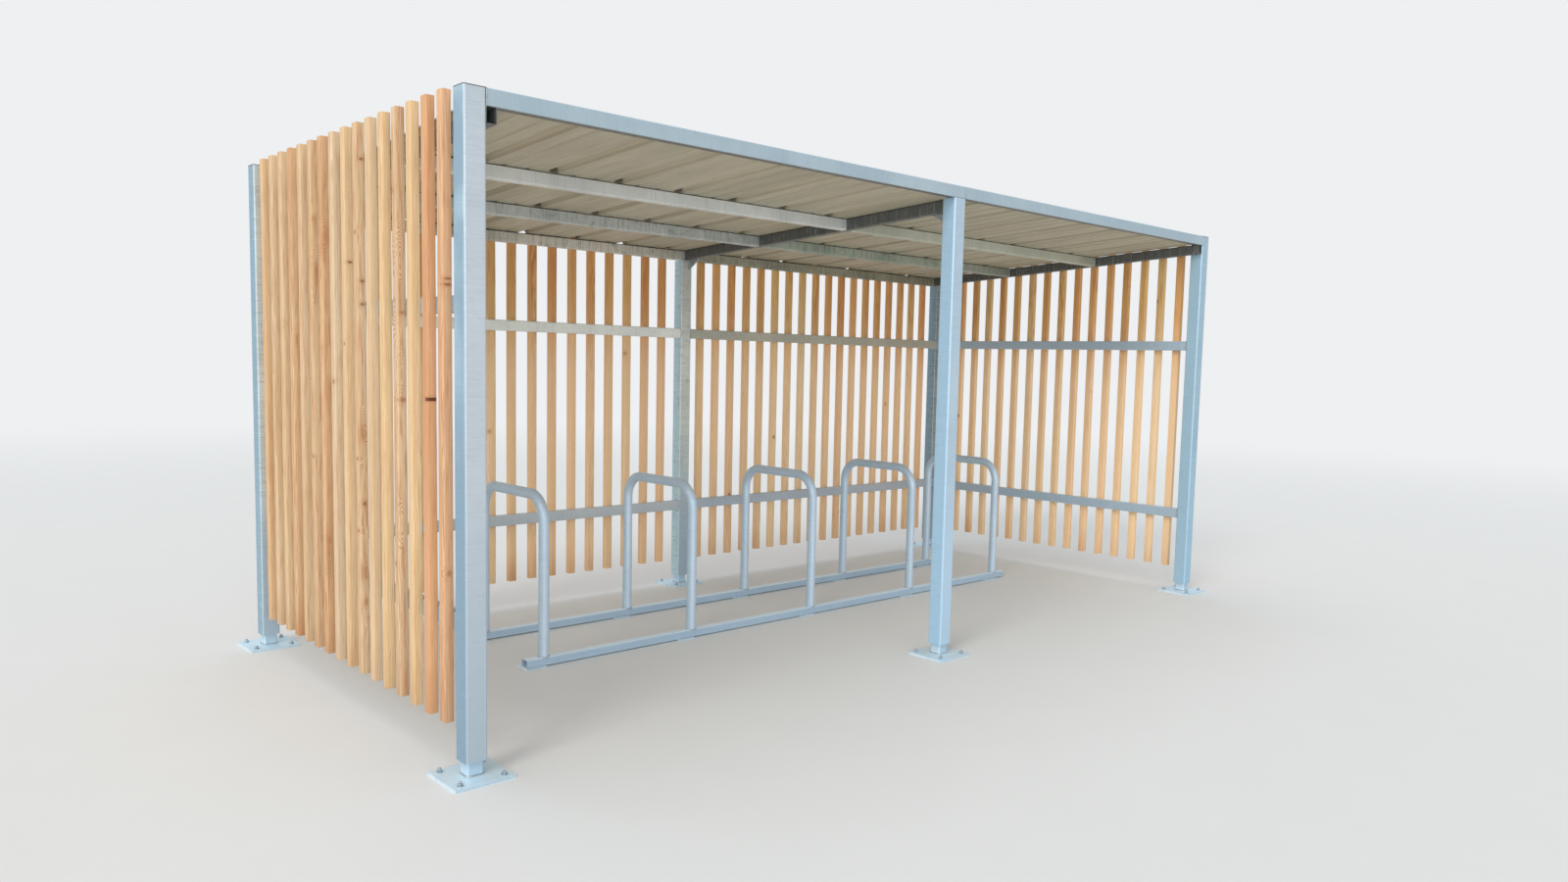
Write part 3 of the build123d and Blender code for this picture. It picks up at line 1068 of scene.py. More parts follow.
@dataclass
class Frame:
    """Posts, feet, beams and wall rails of the shelter."""

    members: tuple[Member, ...]
    fitting: bpy.types.Material
    weld: bpy.types.Material
    anchor: AnchorBolt = FOOT_ANCHOR
    anchor_half_spacing: float = 0.080
    plate_top: float = 0.010
    stub_half_side: float = 0.030
    stub_corner: float = 0.006
    stub_weld: float = 0.0042
    bar_height: float = 0.060
    bar_width: float = 0.040
    bar_corner: float = 0.004
    bar_weld: float = 0.0024
    weld_inset: float = 0.0008
    weld_rise: float = 0.001
    gap_shadow_width: float = 0.0014
    gap_shadow_proud: float = 0.0003
    anchor_seed: int = 11
    stub_weld_seed: int = 5
    bar_weld_seed: int = 6

    def dress_bars(self) -> None:
        """Give each member its zinc, some of them copies that paint light and shade; a member later in the
        list overrides an earlier one.
        """
        made: dict[tuple[str, Run], bpy.types.Material] = {}
        for member in self.members:
            key = (member.finish.name, member.run)
            if key not in made:
                made[key] = member.finish.build(member.run)
            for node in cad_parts:
                if node.startswith(member.start):
                    dress(node, made[key])

    def feet(self) -> list[Vector]:
        """Middles of the feet, in the order of their nodes' names."""
        return [centre_of(node) for node in sorted(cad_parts) if node.startswith("foot_")]

    def anchors(self) -> bpy.types.Object:
        """Build the four anchors of each foot.

        Returns:
            The piece with all anchors.
        """
        pile = MeshPile()
        turns = random.Random(self.anchor_seed)
        reach = self.anchor_half_spacing
        for middle in self.feet():
            for dx in (-reach, reach):
                for dy in (-reach, reach):
                    turn = turns.uniform(0, 1)
                    self.anchor.add_to(pile, middle.x + dx, middle.y + dy, self.plate_top, turn)
        return pile.piece("foot_anchors", self.fitting, Slot.FRAME, smooth=30.0)

    def bar_loop(self, centre: Vector, run: Run, tilt: float = 0.0) -> list[Vector]:
        """Outline of a bar's end where it meets another member.

        Args:
            centre: Middle of the end.
            run: Direction of the bar.
            tilt: Lean of the bar about X in radians.

        Returns:
            The corners of the outline.
        """
        wide, tall, cut = self.bar_width / 2, self.bar_height / 2, self.bar_corner
        pairs = [(-wide, -tall + cut), (-wide, tall - cut), (-wide + cut, tall), (wide - cut, tall),
                 (wide, tall - cut), (wide, -tall + cut), (wide - cut, -tall), (-wide + cut, -tall)]
        if run is Run.ALONG_X:
            lean = Matrix.Rotation(-tilt, 3, "X")
            return [centre + lean @ Vector((0, across, up)) for across, up in pairs]
        return [centre + Vector((across, 0, up)) for across, up in pairs]

    def stub_loop(self, middle: Vector) -> list[Vector]:
        """Outline of a foot's stub tube on top of its plate.

        Args:
            middle: Middle of the foot.

        Returns:
            The corners of the outline.
        """
        half, cut = self.stub_half_side, self.stub_corner
        pairs = [(half, half - cut), (half - cut, half), (-half + cut, half), (-half, half - cut),
                 (-half, -half + cut), (-half + cut, -half), (half - cut, -half), (half, -half + cut)]
        return [Vector((middle.x + x, middle.y + y, self.plate_top + self.weld_rise)) for x, y in pairs]

    def foot_welds(self) -> bpy.types.Object:
        """Build the weld round each stub tube where it stands on its plate.

        Returns:
            The piece with all of them.
        """
        pile = MeshPile()
        ripple = random.Random(self.stub_weld_seed)
        for middle in self.feet():
            pile.bead(self.stub_loop(middle), self.stub_weld, ripple, closed=True)
        return pile.piece("foot_welds", self.weld, Slot.FRAME, smooth=60.0)

    def rail_welds(self) -> bpy.types.Object:
        """Build the welds where the wall rails meet the posts.

        Returns:
            The piece with all of them.
        """
        pile = MeshPile()
        ripple = random.Random(self.bar_weld_seed)
        for node in ("side_rails_left", "side_rails_right", "back_rails_left", "back_rails_right"):
            low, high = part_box(node)
            run = Run.ALONG_Y if node.startswith("side") else Run.ALONG_X
            for z in (low.z + self.bar_height / 2, high.z - self.bar_height / 2):
                for end in (low[run.value] + self.weld_inset, high[run.value] - self.weld_inset):
                    centre = (low + high) / 2
                    centre.z = z
                    centre[run.value] = end
                    pile.bead(self.bar_loop(centre, run), self.bar_weld, ripple, closed=True)
        return pile.piece("rail_welds", self.weld, Slot.FRAME, smooth=60.0)

    def beam_gap_shadows(self, material: bpy.types.Material) -> bpy.types.Object:
        """Build dark strips, painted shadow of the gaps where the two bays' beams butt over the middle posts.

        Args:
            material: Finish of the strips.

        Returns:
            The piece with both strips.
        """
        pile = MeshPile()
        for node in ("front_beam_right", "back_beam_right"):
            low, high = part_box(node)
            middle = (low + high) / 2
            depth = high.y - low.y + 2 * self.gap_shadow_proud
            size = Vector((self.gap_shadow_width, depth, high.z - low.z - self.bar_corner))
            # Dark strip standing in for the shadow in the butt gap: painted shade.
            pile.plate(Vector((low.x, middle.y, middle.z)), size, ease=0.0004)
        return pile.piece("beam_gap_shadows", material, Slot.FRAME)


@dataclass
class RoofFrame(Frame):
    """Rafters, purlins, back beams and haunches below the roof sheets."""

    fall: float = 0.0566
    slope_weld: float = 0.0028
    roof_weld_seed: int = 7

    def purlin_welds(self, pile: MeshPile, ripple: random.Random) -> None:
        """Add the welds at both ends of each purlin.

        Args:
            pile: Pile of the welds.
            ripple: Source of their unevenness.
        """
        tilt = math.atan(self.fall)
        for node in ("purlin_front_left", "purlin_front_right", "purlin_back_left", "purlin_back_right"):
            low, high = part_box(node)
            middle = (low + high) / 2
            for x in (low.x + self.weld_inset, high.x - self.weld_inset):
                loop = self.bar_loop(Vector((x, middle.y, middle.z)), Run.ALONG_X, tilt)
                pile.bead(loop, self.slope_weld, ripple, closed=True)

    def beam_welds(self, pile: MeshPile, ripple: random.Random) -> None:
        """Add the weld at each beam's outer end.

        Args:
            pile: Pile of the welds.
            ripple: Source of their unevenness.
        """
        for node in ("front_beam_left", "front_beam_right", "back_beam_left", "back_beam_right"):
            low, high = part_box(node)
            middle = (low + high) / 2
            x = low.x if abs(low.x) > abs(high.x) else high.x
            inward = self.weld_inset if x < 0 else -self.weld_inset
            loop = self.bar_loop(Vector((x + inward, middle.y, middle.z)), Run.ALONG_X)
            pile.bead(loop, self.bar_weld, ripple, closed=True)

    def rafter_welds(self, pile: MeshPile, ripple: random.Random) -> None:
        """Add the welds at both ends of the middle rafter.

        Args:
            pile: Pile of the welds.
            ripple: Source of their unevenness.
        """
        low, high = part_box("rafter_middle")
        half = self.bar_height / 2
        front = Vector((0, low.y + self.weld_inset, high.z - half))
        back = Vector((0, high.y - self.weld_inset, low.z + half))
        for centre in (front, back):
            pile.bead(self.bar_loop(centre, Run.ALONG_Y), self.slope_weld, ripple, closed=True)

    def roof_welds(self) -> bpy.types.Object:
        """Build the welds at the ends of purlins, beams and the middle rafter.

        Returns:
            The piece with all of them.
        """
        pile = MeshPile()
        ripple = random.Random(self.roof_weld_seed)
        self.purlin_welds(pile, ripple)
        self.beam_welds(pile, ripple)
        self.rafter_welds(pile, ripple)
        return pile.piece("roof_frame_welds", self.weld, Slot.ROOF_FRAME, smooth=60.0)


Outline = tuple[tuple[float, float], ...]


@dataclass
class RoofSheets:
    """Ribbed sheets and the screws in their rib tops."""

    rubber: bpy.types.Material
    screw: bpy.types.Material
    sheets: int = 5
    ribs_each: int = 3
    rib_height: float = 0.039
    thickness: float = 0.0010
    lap_rise: float = 0.0022
    fall: float = 0.0566
    post_side: float = 0.080
    washer: Outline = ((0.0085, 0), (0.0085, 0.0012), (0.0070, 0.0026))
    washer_top: float = 0.0024
    flange: Outline = ((0.0075, 0), (0.0075, 0.0012), (0.0050, 0.0016))
    flange_top: float = 0.0014
    hexagon: Outline = ((0.0046, 0), (0.0046, 0.0042), (0.0040, 0.0050))
    seed: int = 23

    def dress_sheets(self) -> None:
        """Give the sheets their coat."""
        coat = CoatedSheet(tuple(self.bearing_lines()), self.seat_of_sheets(0.0), self.fall).build()
        for number in range(1, self.sheets + 1):
            dress(f"roof_sheet_{number}", coat)

    def seat_of_sheets(self, y: float) -> float:
        """Height of the rafters' tops, where the sheets' flats lie, on a line along the shelter."""
        low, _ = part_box("front_beam_left")
        return low.z - self.fall * (y - (low.y + self.post_side))

    def bearing_lines(self) -> list[float]:
        """Places of the members that the sheets are screwed to."""
        return [centre_of(node).y for node in ("purlin_front_left", "purlin_back_left", "back_beam_left")]

    def screws(self) -> list[bpy.types.Object]:
        """Build a hex screw on its sealing washer where each rib crosses a purlin or the back beam.

        Returns:
            The washers and the screws.
        """
        washers, heads = MeshPile(), MeshPile()
        turns = random.Random(self.seed)
        rafter = centre_of("rafter_right").x
        ribs = self.sheets * self.ribs_each
        pitch = 2 * rafter / ribs
        lean = Matrix.Rotation(-math.atan(self.fall), 3, "X")
        for y in self.bearing_lines():
            for i in range(ribs + 1):
                lapped = i % self.ribs_each == 0 and 0 < i < ribs
                rise = self.rib_height + (self.lap_rise if lapped else self.thickness)
                seat = Vector((-rafter + i * pitch, y, self.seat_of_sheets(y) + rise))
                washers.turned(seat, self.washer, 18, lean)
                head = seat + lean @ Vector((0, 0, self.washer_top))
                heads.turned(head, self.flange, 18, lean)
                nut = head + lean @ Vector((0, 0, self.flange_top))
                heads.turned(nut, self.hexagon, 6, lean, turns.uniform(0, 1))
        return [
            washers.piece("roof_washers", self.rubber, Slot.SHEET),
            heads.piece("roof_screws", self.screw, Slot.SHEET, smooth=30.0),
        ]


@dataclass
class Batten:
    """One upright slat, with its place in the log that it was sawn from."""

    centre: tuple[float, float]
    bottom: float
    top: float
    along_y: bool
    tone: float
    knotty: float
    seed: int
    most_trim: float = 0.0006
    most_bow: float = 0.0016
    most_drift: tuple[float, float] = (0.012, 0.010)
    pith_across: float = 0.05
    pith_depths: tuple[float, float] = (0.012, 0.075)
    most_shift: float = 50.0
    wet_height: float = 0.09
    trim: float = field(init=False)
    bow: float = field(init=False)
    pith: Vector = field(init=False)
    drift: tuple[float, ...] = field(init=False)
    shift: Vector = field(init=False)
    soaked: float = field(init=False)
    length: float = field(init=False)

    def __post_init__(self) -> None:
        """Draw what differs from one batten to the next."""
        draw = random.Random(self.seed)
        self.trim = draw.uniform(0.0, self.most_trim)
        self.bow = draw.uniform(-self.most_bow, self.most_bow)
        across = draw.uniform(-self.pith_across, self.pith_across)
        side = draw.choice((-1, 1))
        self.pith = Vector((across, side * draw.uniform(*self.pith_depths), 0))
        self.drift = tuple(draw.uniform(-most, most) for most in self.most_drift)
        self.shift = Vector([draw.uniform(0, self.most_shift) for _ in range(3)])
        self.soaked = draw.uniform(0.0, 1.0) ** 2
        self.length = self.top - self.bottom

    def spot(self, across: float, through: float, up: float) -> Vector:
        """Place on the shelter of one point of the batten, with its bow.

        Args:
            across: Way across the wall from the batten's middle.
            through: Way through the wall from the batten's middle.
            up: Height above its lower end.

        Returns:
            The place.
        """
        x, y = self.centre
        sway = self.bow * math.sin(math.pi * up / self.length) if 0 < up < self.length else 0.0
        if self.along_y:
            return Vector((x + through, y + across + sway, self.bottom + up))
        return Vector((x + across + sway, y + through, self.bottom + up))


@dataclass
class LarchPile(MeshPile):
    """Battens in one pile, with what their finish reads at each point."""

    places: dict[str, list[float]] = field(default_factory=lambda: defaultdict(list))
    shares: dict[str, list[float]] = field(default_factory=lambda: defaultdict(list))
    knot_squeeze: float = 0.8

    def note(self, batten: Batten, across: float, through: float, up: float, cut_end: float) -> None:
        """Note one point's place in its log, and its batten's colour.

        Args:
            batten: Batten that the point is on.
            across: Way across the wall from the batten's middle.
            through: Way through the wall from the batten's middle.
            up: Height above its lower end.
            cut_end: 1 on a sawn end, 0 on the sides.
        """
        pith, shift = batten.pith, batten.shift
        sideways, inwards = (drift * up for drift in batten.drift)
        self.places["log_place"] += (across + pith.x + sideways, through + pith.y + inwards, up + shift.z)
        self.places["knot_place"] += (across + shift.x, through + shift.y, self.knot_squeeze * up + shift.z)
        self.shares["tone"].append(min(1.0, max(0.0, batten.tone)))
        self.shares["knotty"].append(batten.knotty)
        self.shares["cut_end"].append(cut_end)
        self.shares["damp"].append(batten.soaked * max(0.0, 1.0 - up / batten.wet_height))

    def ring(self, batten: Batten, outline: Sequence[tuple[float, float]], up: float,
             inset: float, cut_end: float) -> list[Vector]:
        """Points of a batten's outline at one height, each noted for the finish.

        Args:
            batten: The batten.
            outline: Its outline.
            up: Height above its lower end.
            inset: Share of the outline's full size.
            cut_end: 1 on a sawn end, 0 on the sides.

        Returns:
            The points.
        """
        points = []
        for across, through in outline:
            points.append(batten.spot(across * inset, through * inset, up))
            self.note(batten, across * inset, through * inset, up, cut_end)
        return points

    def store(self, mesh: bpy.types.Mesh) -> None:
        """Keep the notes on the finished mesh.

        Args:
            mesh: Mesh made from this pile.
        """
        for name, values in self.places.items():
            mesh.attributes.new(name, "FLOAT_VECTOR", "POINT").data.foreach_set("vector", values)
        for name, values in self.shares.items():
            mesh.attributes.new(name, "FLOAT", "POINT").data.foreach_set("value", values)


@dataclass
class SlatWall:
    """Wall of separate battens fixed to the outer faces of its rails."""

    node: str
    along_y: bool
    finish: bpy.types.Material
    tones: Sequence[Tone]
    knots: Sequence[float]
    seed: int
    width: float = 0.045
    thickness: float = 0.032
    ease: float = 0.0022
    end_cut: float = 0.0012
    end_rise: float = 0.0015
    levels: int = 13
    place_wander: float = 0.0012
    tone_wander: float = 0.06
    knot_wander: float = 0.05
    most_short_below: float = 0.0022
    most_short_above: float = 0.0018

    def battens(self) -> list[Batten]:
        """Place the battens where the CAD node has them.

        Returns:
            The battens, from the low end of the wall to the high end.
        """
        low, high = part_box(self.node)
        span = (high.y - low.y) if self.along_y else (high.x - low.x)
        count = len(self.tones)
        pitch = (span - self.width) / (count - 1)
        draw = random.Random(self.seed)
        result = []
        for i in range(count):
            wander = draw.uniform(-self.place_wander, self.place_wander)
            shift = self.width / 2 + i * pitch + (0.0 if i in (0, count - 1) else wander)
            x = (low.x + high.x) / 2 if self.along_y else low.x + shift
            y = low.y + shift if self.along_y else (low.y + high.y) / 2
            tone = self.tones[i].value + draw.uniform(-self.tone_wander, self.tone_wander)
            knotty = self.knots[i % len(self.knots)] + draw.uniform(-self.knot_wander, self.knot_wander)
            bottom = low.z + draw.uniform(0.0, self.most_short_below)
            top = high.z - draw.uniform(0.0, self.most_short_above)
            result.append(Batten((x, y), bottom, top, self.along_y, tone, knotty, self.seed * 100 + i))
        return result

    def section(self, width: float, depth: float) -> list[tuple[float, float]]:
        """Outline of a batten with eased edges.

        Args:
            width: Size across the wall.
            depth: Size through the wall.

        Returns:
            The corners of the outline.
        """
        corners = []
        for sx, sy, start in ((1, 1, 0), (-1, 1, 90), (-1, -1, 180), (1, -1, 270)):
            for part in (0, 30, 60, 90):
                angle = math.radians(start + part)
                corners.append((sx * (width / 2 - self.ease) + self.ease * math.cos(angle),
                                sy * (depth / 2 - self.ease) + self.ease * math.sin(angle)))
        return corners

    def add_batten(self, pile: LarchPile, batten: Batten) -> None:
        """Add one batten: its sides, chamfered at both ends, and its sawn ends.

        Args:
            pile: Pile of the wall.
            batten: The batten.
        """
        outline = self.section(self.width - batten.trim, self.thickness - batten.trim / 2)
        count = len(outline)
        length = batten.length
        narrow = 1.0 - self.end_cut / self.width * 2
        heights = [0.0, self.end_rise]
        heights += [length * i / (self.levels - 1) for i in range(1, self.levels - 1)]
        heights += [length - self.end_rise, length]
        points = []
        for up in heights:
            points += pile.ring(batten, outline, up, narrow if up in (0.0, length) else 1.0, 0.0)
        faces = []
        for level in range(len(heights) - 1):
            lower, upper = level * count, (level + 1) * count
            for i in range(count):
                j = (i + 1) % count
                quad = (lower + i, lower + j, upper + j, upper + i)
                faces.append(tuple(reversed(quad)) if self.along_y else quad)
        pile.add(points, faces)
        for up in (0.0, length):
            cap = pile.ring(batten, outline, up, narrow, 1.0)
            order = list(range(count))
            if (up == 0.0) != self.along_y:
                order.reverse()
            pile.add(cap, [order])

    def build(self) -> bpy.types.Object:
        """Build the wall as one piece that stands for its CAD node.

        Returns:
            The piece.
        """
        pile = LarchPile()
        for batten in self.battens():
            self.add_batten(pile, batten)
        piece = pile.piece(self.node + "_battens", self.finish, Slot.LARCH, smooth=50.0)
        pile.store(piece.data)
        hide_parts(self.node)
        return piece


@dataclass
class HoopRack:
    """Five bent hoops welded to two base rails that are anchored to the ground."""

    bright: Galvanised
    base: Galvanised
    fitting: bpy.types.Material
    weld: bpy.types.Material
    anchor: AnchorBolt = RACK_ANCHOR
    hoops: int = 5
    leg_radius: float = 0.025
    leg_weld: float = 0.0036
    leg_weld_corners: int = 20
    leg_weld_gap: float = 0.0005
    leg_weld_squeeze: float = 0.985
    rail_flat_share: float = 0.8
    rail_round_drop: float = 0.012
    weld_rise: float = 0.001
    rail_top: float = 0.046
    rail_half_width: float = 0.025
    plate_top: float = 0.006
    plate_weld: float = 0.0032
    plate_weld_half_length: float = 0.044
    anchor_shift: tuple[float, float] = (-0.050, 0.050)
    seed: int = 31

    def legs(self) -> list[tuple[float, float]]:
        """Find the hoop legs on the rails.

        Returns:
            Places of their axes.
        """
        places = []
        for number in range(1, self.hoops + 1):
            low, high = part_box(f"hoop_{number}")
            x = (low.x + high.x) / 2
            places.extend(((x, low.y + self.leg_radius), (x, high.y - self.leg_radius)))
        return places

    def dress_rack(self) -> None:
        """Give hoops and rails their zinc."""
        upright = self.bright.build(Run.ALONG_Z)
        level = self.base.build(Run.ALONG_X)
        for number in range(1, self.hoops + 1):
            dress(f"hoop_{number}", upright)
        for node in ("rack_rail_front", "rack_rail_back"):
            dress(node, level)

    def leg_loop(self, x: float, y: float) -> list[Vector]:
        """Line round a leg where it meets its rail, which falls away at the front and the back.

        Args:
            x: Place of the leg's axis.
            y: Place of the leg's axis.

        Returns:
            The corners of the line.
        """
        reach = self.leg_radius + self.leg_weld_gap
        corners = []
        for i in range(self.leg_weld_corners):
            angle = 2 * math.pi * i / self.leg_weld_corners
            dip = max(0.0, abs(math.sin(angle)) - self.rail_flat_share) * self.rail_round_drop
            sideways = reach * math.cos(angle)
            frontways = reach * self.leg_weld_squeeze * math.sin(angle)
            corners.append(Vector((x + sideways, y + frontways, self.rail_top - dip)))
        return corners

    def plate_seam(self, x: float, y: float, side: int) -> list[Vector]:
        """Line where an anchor plate meets one side of its rail.

        Args:
            x: Middle of the plate along the rail.
            y: Place of the rail's axis.
            side: Side of the rail, -1 or 1.

        Returns:
            The ends of the line.
        """
        run = self.plate_weld_half_length
        edge = y + side * self.rail_half_width
        return [Vector((x + end * run, edge, self.plate_top + self.weld_rise)) for end in (-1, 1)]

    def fittings(self) -> list[bpy.types.Object]:
        """Build the anchors and the welds of the rack.

        Returns:
            The anchors and the welds.
        """
        anchors, welds = MeshPile(), MeshPile()
        draw = random.Random(self.seed)
        for x, y in self.legs():
            welds.bead(self.leg_loop(x, y), self.leg_weld, draw, closed=True)
            plate_x, anchor_y = x + self.anchor_shift[0], y + self.anchor_shift[1]
            for side in (-1, 1):
                welds.bead(self.plate_seam(plate_x, y, side), self.plate_weld, draw)
            self.anchor.add_to(anchors, plate_x, anchor_y, self.plate_top, draw.uniform(0, 1))
        return [
            anchors.piece("rack_anchors", self.fitting, Slot.RACK, smooth=30.0),
            welds.piece("rack_welds", self.weld, Slot.RACK, smooth=60.0),
        ]


@dataclass(frozen=True)
class Lamp:
    """One broad, far lamp: where its light travels to, its strength, its width in degrees and its colour."""

    name: str
    towards: tuple[float, float, float]
    strength: float
    spread: float
    colour: Shade

    def hang(self) -> None:
        """Add the lamp to the scene."""
        data = bpy.data.lights.new(self.name, "SUN")
        data.energy = self.strength
        data.angle = math.radians(self.spread)
        data.color = self.colour
        lamp = bpy.data.objects.new(self.name, data)
        lamp.rotation_euler = Vector(self.towards).to_track_quat("-Z", "Y").to_euler()
        bpy.context.scene.collection.objects.link(lamp)


# A key light at the left, low fills that reach under the roof, and a soft light above.
STUDIO_LAMPS = (
    Lamp("key_light", (0.80, 0.35, -0.62), 1.08, 24.0, (1.0, 0.97, 0.92)),
    Lamp("front_fill", (0.40, 0.90, -0.14), 0.92, 40.0, (0.95, 0.97, 1.0)),
    Lamp("side_fill", (0.93, 0.30, -0.12), 0.50, 40.0, (1.0, 0.98, 0.95)),
    Lamp("top_light", (0.10, -0.15, -1.0), 0.60, 50.0, (1.0, 1.0, 1.0)),
)


@dataclass
class Studio:
    """Plain pale floor, soft light and the camera at the photograph's viewing angle."""

    floor_colour: Shade = shade(226, 226, 224)
    floor_mottle: Shade = shade(205, 205, 202)
    floor_reach: float = 40.0
    floor_fade: tuple[float, float] = (7.0, 20.0)
    backdrop: Shade = shade(238, 240, 242)
    sky: Shade = (0.90, 0.95, 1.0)
    sky_strength: float = 0.62
    position: tuple[float, float, float] = (-4.1332, -4.4913, 1.4468)
    yaw: float = -43.321
    pitch: float = -4.943
    roll: float = 1.348
    lens: float = 24.55
    shift: tuple[float, float] = (-0.01571, 0.00996)

    def floor_finish(self) -> bpy.types.Material:
        """Make the floor's finish, which fades into the backdrop far from the shelter.

        Returns:
            The material.
        """
        graph = FinishGraph("studio_floor")
        place = graph.place()
        x, y, _ = graph.split(place)
        squares = graph.maths("ADD", graph.maths("POWER", x, 2.0), graph.maths("POWER", y, 2.0))
        fade = graph.remap(graph.maths("SQRT", squares), *self.floor_fade)
        mottle = graph.remap(graph.noise(place, 3.0, 3.0), 0.3, 0.7, 0.0, 0.05)
        colour = graph.blend(mottle, self.floor_colour, self.floor_mottle)
        graph.surface(Base_Color=colour, Roughness=0.8)
        clear = graph.node("ShaderNodeBsdfTransparent", {})
        mix = graph.node("ShaderNodeMixShader", {0: fade, 1: graph.shader.outputs[0], 2: clear.outputs[0]})
        output = next(node for node in graph.tree.nodes if node.type == "OUTPUT_MATERIAL")
        graph.tree.links.new(mix.outputs[0], output.inputs["Surface"])
        return graph.material

    def floor(self) -> bpy.types.Object:
        """Lay the floor.

        Returns:
            The floor.
        """
        far = self.floor_reach
        mesh = bpy.data.meshes.new("floor")
        corners = [(-far, -far, 0), (far, -far, 0), (far, far, 0), (-far, far, 0)]
        mesh.from_pydata(corners, [], [(0, 1, 2, 3)])
        mesh.materials.append(self.floor_finish())
        floor = bpy.data.objects.new("floor", mesh)
        bpy.context.scene.collection.objects.link(floor)
        return floor

    def world(self) -> None:
        """Light the scene evenly from all round, behind a pale backdrop that only the camera sees."""
        world = bpy.data.worlds.new("studio_world")
        bpy.context.scene.world = world
        world.use_nodes = True
        tree = world.node_tree
        tree.nodes.clear()
        output = tree.nodes.new("ShaderNodeOutputWorld")
        light = tree.nodes.new("ShaderNodeBackground")
        light.inputs[0].default_value = (*self.sky, 1.0)
        light.inputs[1].default_value = self.sky_strength
        seen = tree.nodes.new("ShaderNodeBackground")
        seen.inputs[0].default_value = (*self.backdrop, 1.0)
        seen.inputs[1].default_value = 1.0
        path = tree.nodes.new("ShaderNodeLightPath")
        mix = tree.nodes.new("ShaderNodeMixShader")
        tree.links.new(path.outputs["Is Camera Ray"], mix.inputs[0])
        tree.links.new(light.outputs[0], mix.inputs[1])
        tree.links.new(seen.outputs[0], mix.inputs[2])
        tree.links.new(mix.outputs[0], output.inputs["Surface"])

    def camera(self) -> bpy.types.Object:
        """Set up the camera from its measured place and angles.

        Returns:
            The camera.
        """
        yaw, pitch, roll = (math.radians(angle) for angle in (self.yaw, self.pitch, self.roll))
        level = math.cos(pitch)
        forward = Vector((-math.sin(yaw) * level, math.cos(yaw) * level, math.sin(pitch)))
        right = forward.cross(Vector((0, 0, 1))).normalized()
        up = right.cross(forward)
        rolled_right = math.cos(roll) * right + math.sin(roll) * up
        rolled_up = math.cos(roll) * up - math.sin(roll) * right
        data = bpy.data.cameras.new("camera")
        data.sensor_fit = "HORIZONTAL"
        data.sensor_width = 36.0
        data.lens = self.lens
        data.shift_x, data.shift_y = self.shift
        data.clip_end = 200.0
        camera = bpy.data.objects.new("camera", data)
        turn = Matrix((rolled_right, rolled_up, -forward)).transposed()
        camera.matrix_world = Matrix.Translation(self.position) @ turn.to_4x4()
        bpy.context.scene.collection.objects.link(camera)
        bpy.context.scene.camera = camera
        return camera

    def build(self) -> None:
        """Set up floor, world, lamps, camera and the plain view."""
        self.floor()
        self.world()
        for lamp in STUDIO_LAMPS:
            lamp.hang()
        self.camera()
        bpy.context.scene.view_settings.view_transform = "Standard"


# Left wall, from the front: the tone of each batten, and how lively its grain is.
LEFT_TONES = (
    Tone.PINK, Tone.ORANGE, Tone.CREAM, Tone.STRAW, Tone.CREAM, Tone.STRAW, Tone.STRAW, Tone.STRAW,
    Tone.PALE, Tone.TAN, Tone.STRAW, Tone.STRAW, Tone.TAN, Tone.STRAW, Tone.STRAW, Tone.TAN,
)
LEFT_FIGURE = (
    0.24, 0.12, 0.14, 0.45, 0.14, 0.12, 0.38, 0.16,
    0.26, 0.34, 0.42, 0.28, 0.24, 0.20, 0.28, 0.20,
)

# How common each tone is in the other walls, in the order of the named tones.
MIXED_SHARES = (1, 2, 3, 3, 4, 3, 0)
RUDDY_SHARES = (0.3, 1.2, 3, 4, 4, 4, 0)


@dataclass(frozen=True)
class KnotMark:
    """Knot on the left wall's outside: batten, counted from the front, face, height and half sizes."""

    batten: int
    on_front: bool
    height: float
    half_width: float
    half_height: float
    dark: float = 0.55
    pull: float = 1.0
    straight: bool = False


LEFT_KNOTS = (
    KnotMark(1, True, 1.708, 0.013, 0.0035), KnotMark(1, True, 1.688, 0.014, 0.0045),
    KnotMark(1, True, 0.690, 0.007, 0.0080, 0.25, 1.5),
    KnotMark(2, True, 1.292, 0.017, 0.0055, 1.0, straight=True),
    KnotMark(4, True, 1.600, 0.009, 0.0060, 0.25), KnotMark(4, False, 1.700, 0.010, 0.0450, 0.0, 3.0),
    KnotMark(4, True, 1.790, 0.006, 0.0340, 0.0, 3.4), KnotMark(4, True, 1.280, 0.010, 0.0070, 0.35, 1.6),
    KnotMark(4, True, 1.370, 0.005, 0.0260, 0.0, 2.6), KnotMark(4, True, 0.820, 0.006, 0.0300, 0.0, 2.4),
    KnotMark(7, True, 1.130, 0.008, 0.0240, 0.12, 2.8), KnotMark(7, True, 0.570, 0.007, 0.0200, 0.15, 2.6),
    KnotMark(7, True, 0.450, 0.006, 0.0160, 0.20, 2.2),
    KnotMark(10, True, 1.930, 0.008, 0.0300, 0.10, 3.0), KnotMark(10, True, 0.600, 0.006, 0.0260, 0.0, 2.6),
    KnotMark(11, True, 1.780, 0.005, 0.0320, 0.10, 3.0), KnotMark(11, False, 1.250, 0.006, 0.0260, 0.10, 2.6),
    KnotMark(13, True, 1.500, 0.005, 0.0200, 0.10, 2.0), KnotMark(7, True, 2.200, 0.006, 0.0050),
    KnotMark(7, False, 1.920, 0.006, 0.0055), KnotMark(7, True, 1.730, 0.007, 0.0055),
    KnotMark(7, True, 1.640, 0.006, 0.0050), KnotMark(7, False, 1.030, 0.007, 0.0060),
    KnotMark(7, True, 0.850, 0.007, 0.0065), KnotMark(7, False, 0.740, 0.007, 0.0060),
    KnotMark(8, True, 1.810, 0.008, 0.0045, 0.70), KnotMark(8, False, 1.485, 0.005, 0.0045),
    KnotMark(9, False, 1.330, 0.008, 0.0070), KnotMark(11, False, 1.000, 0.008, 0.0065),
)


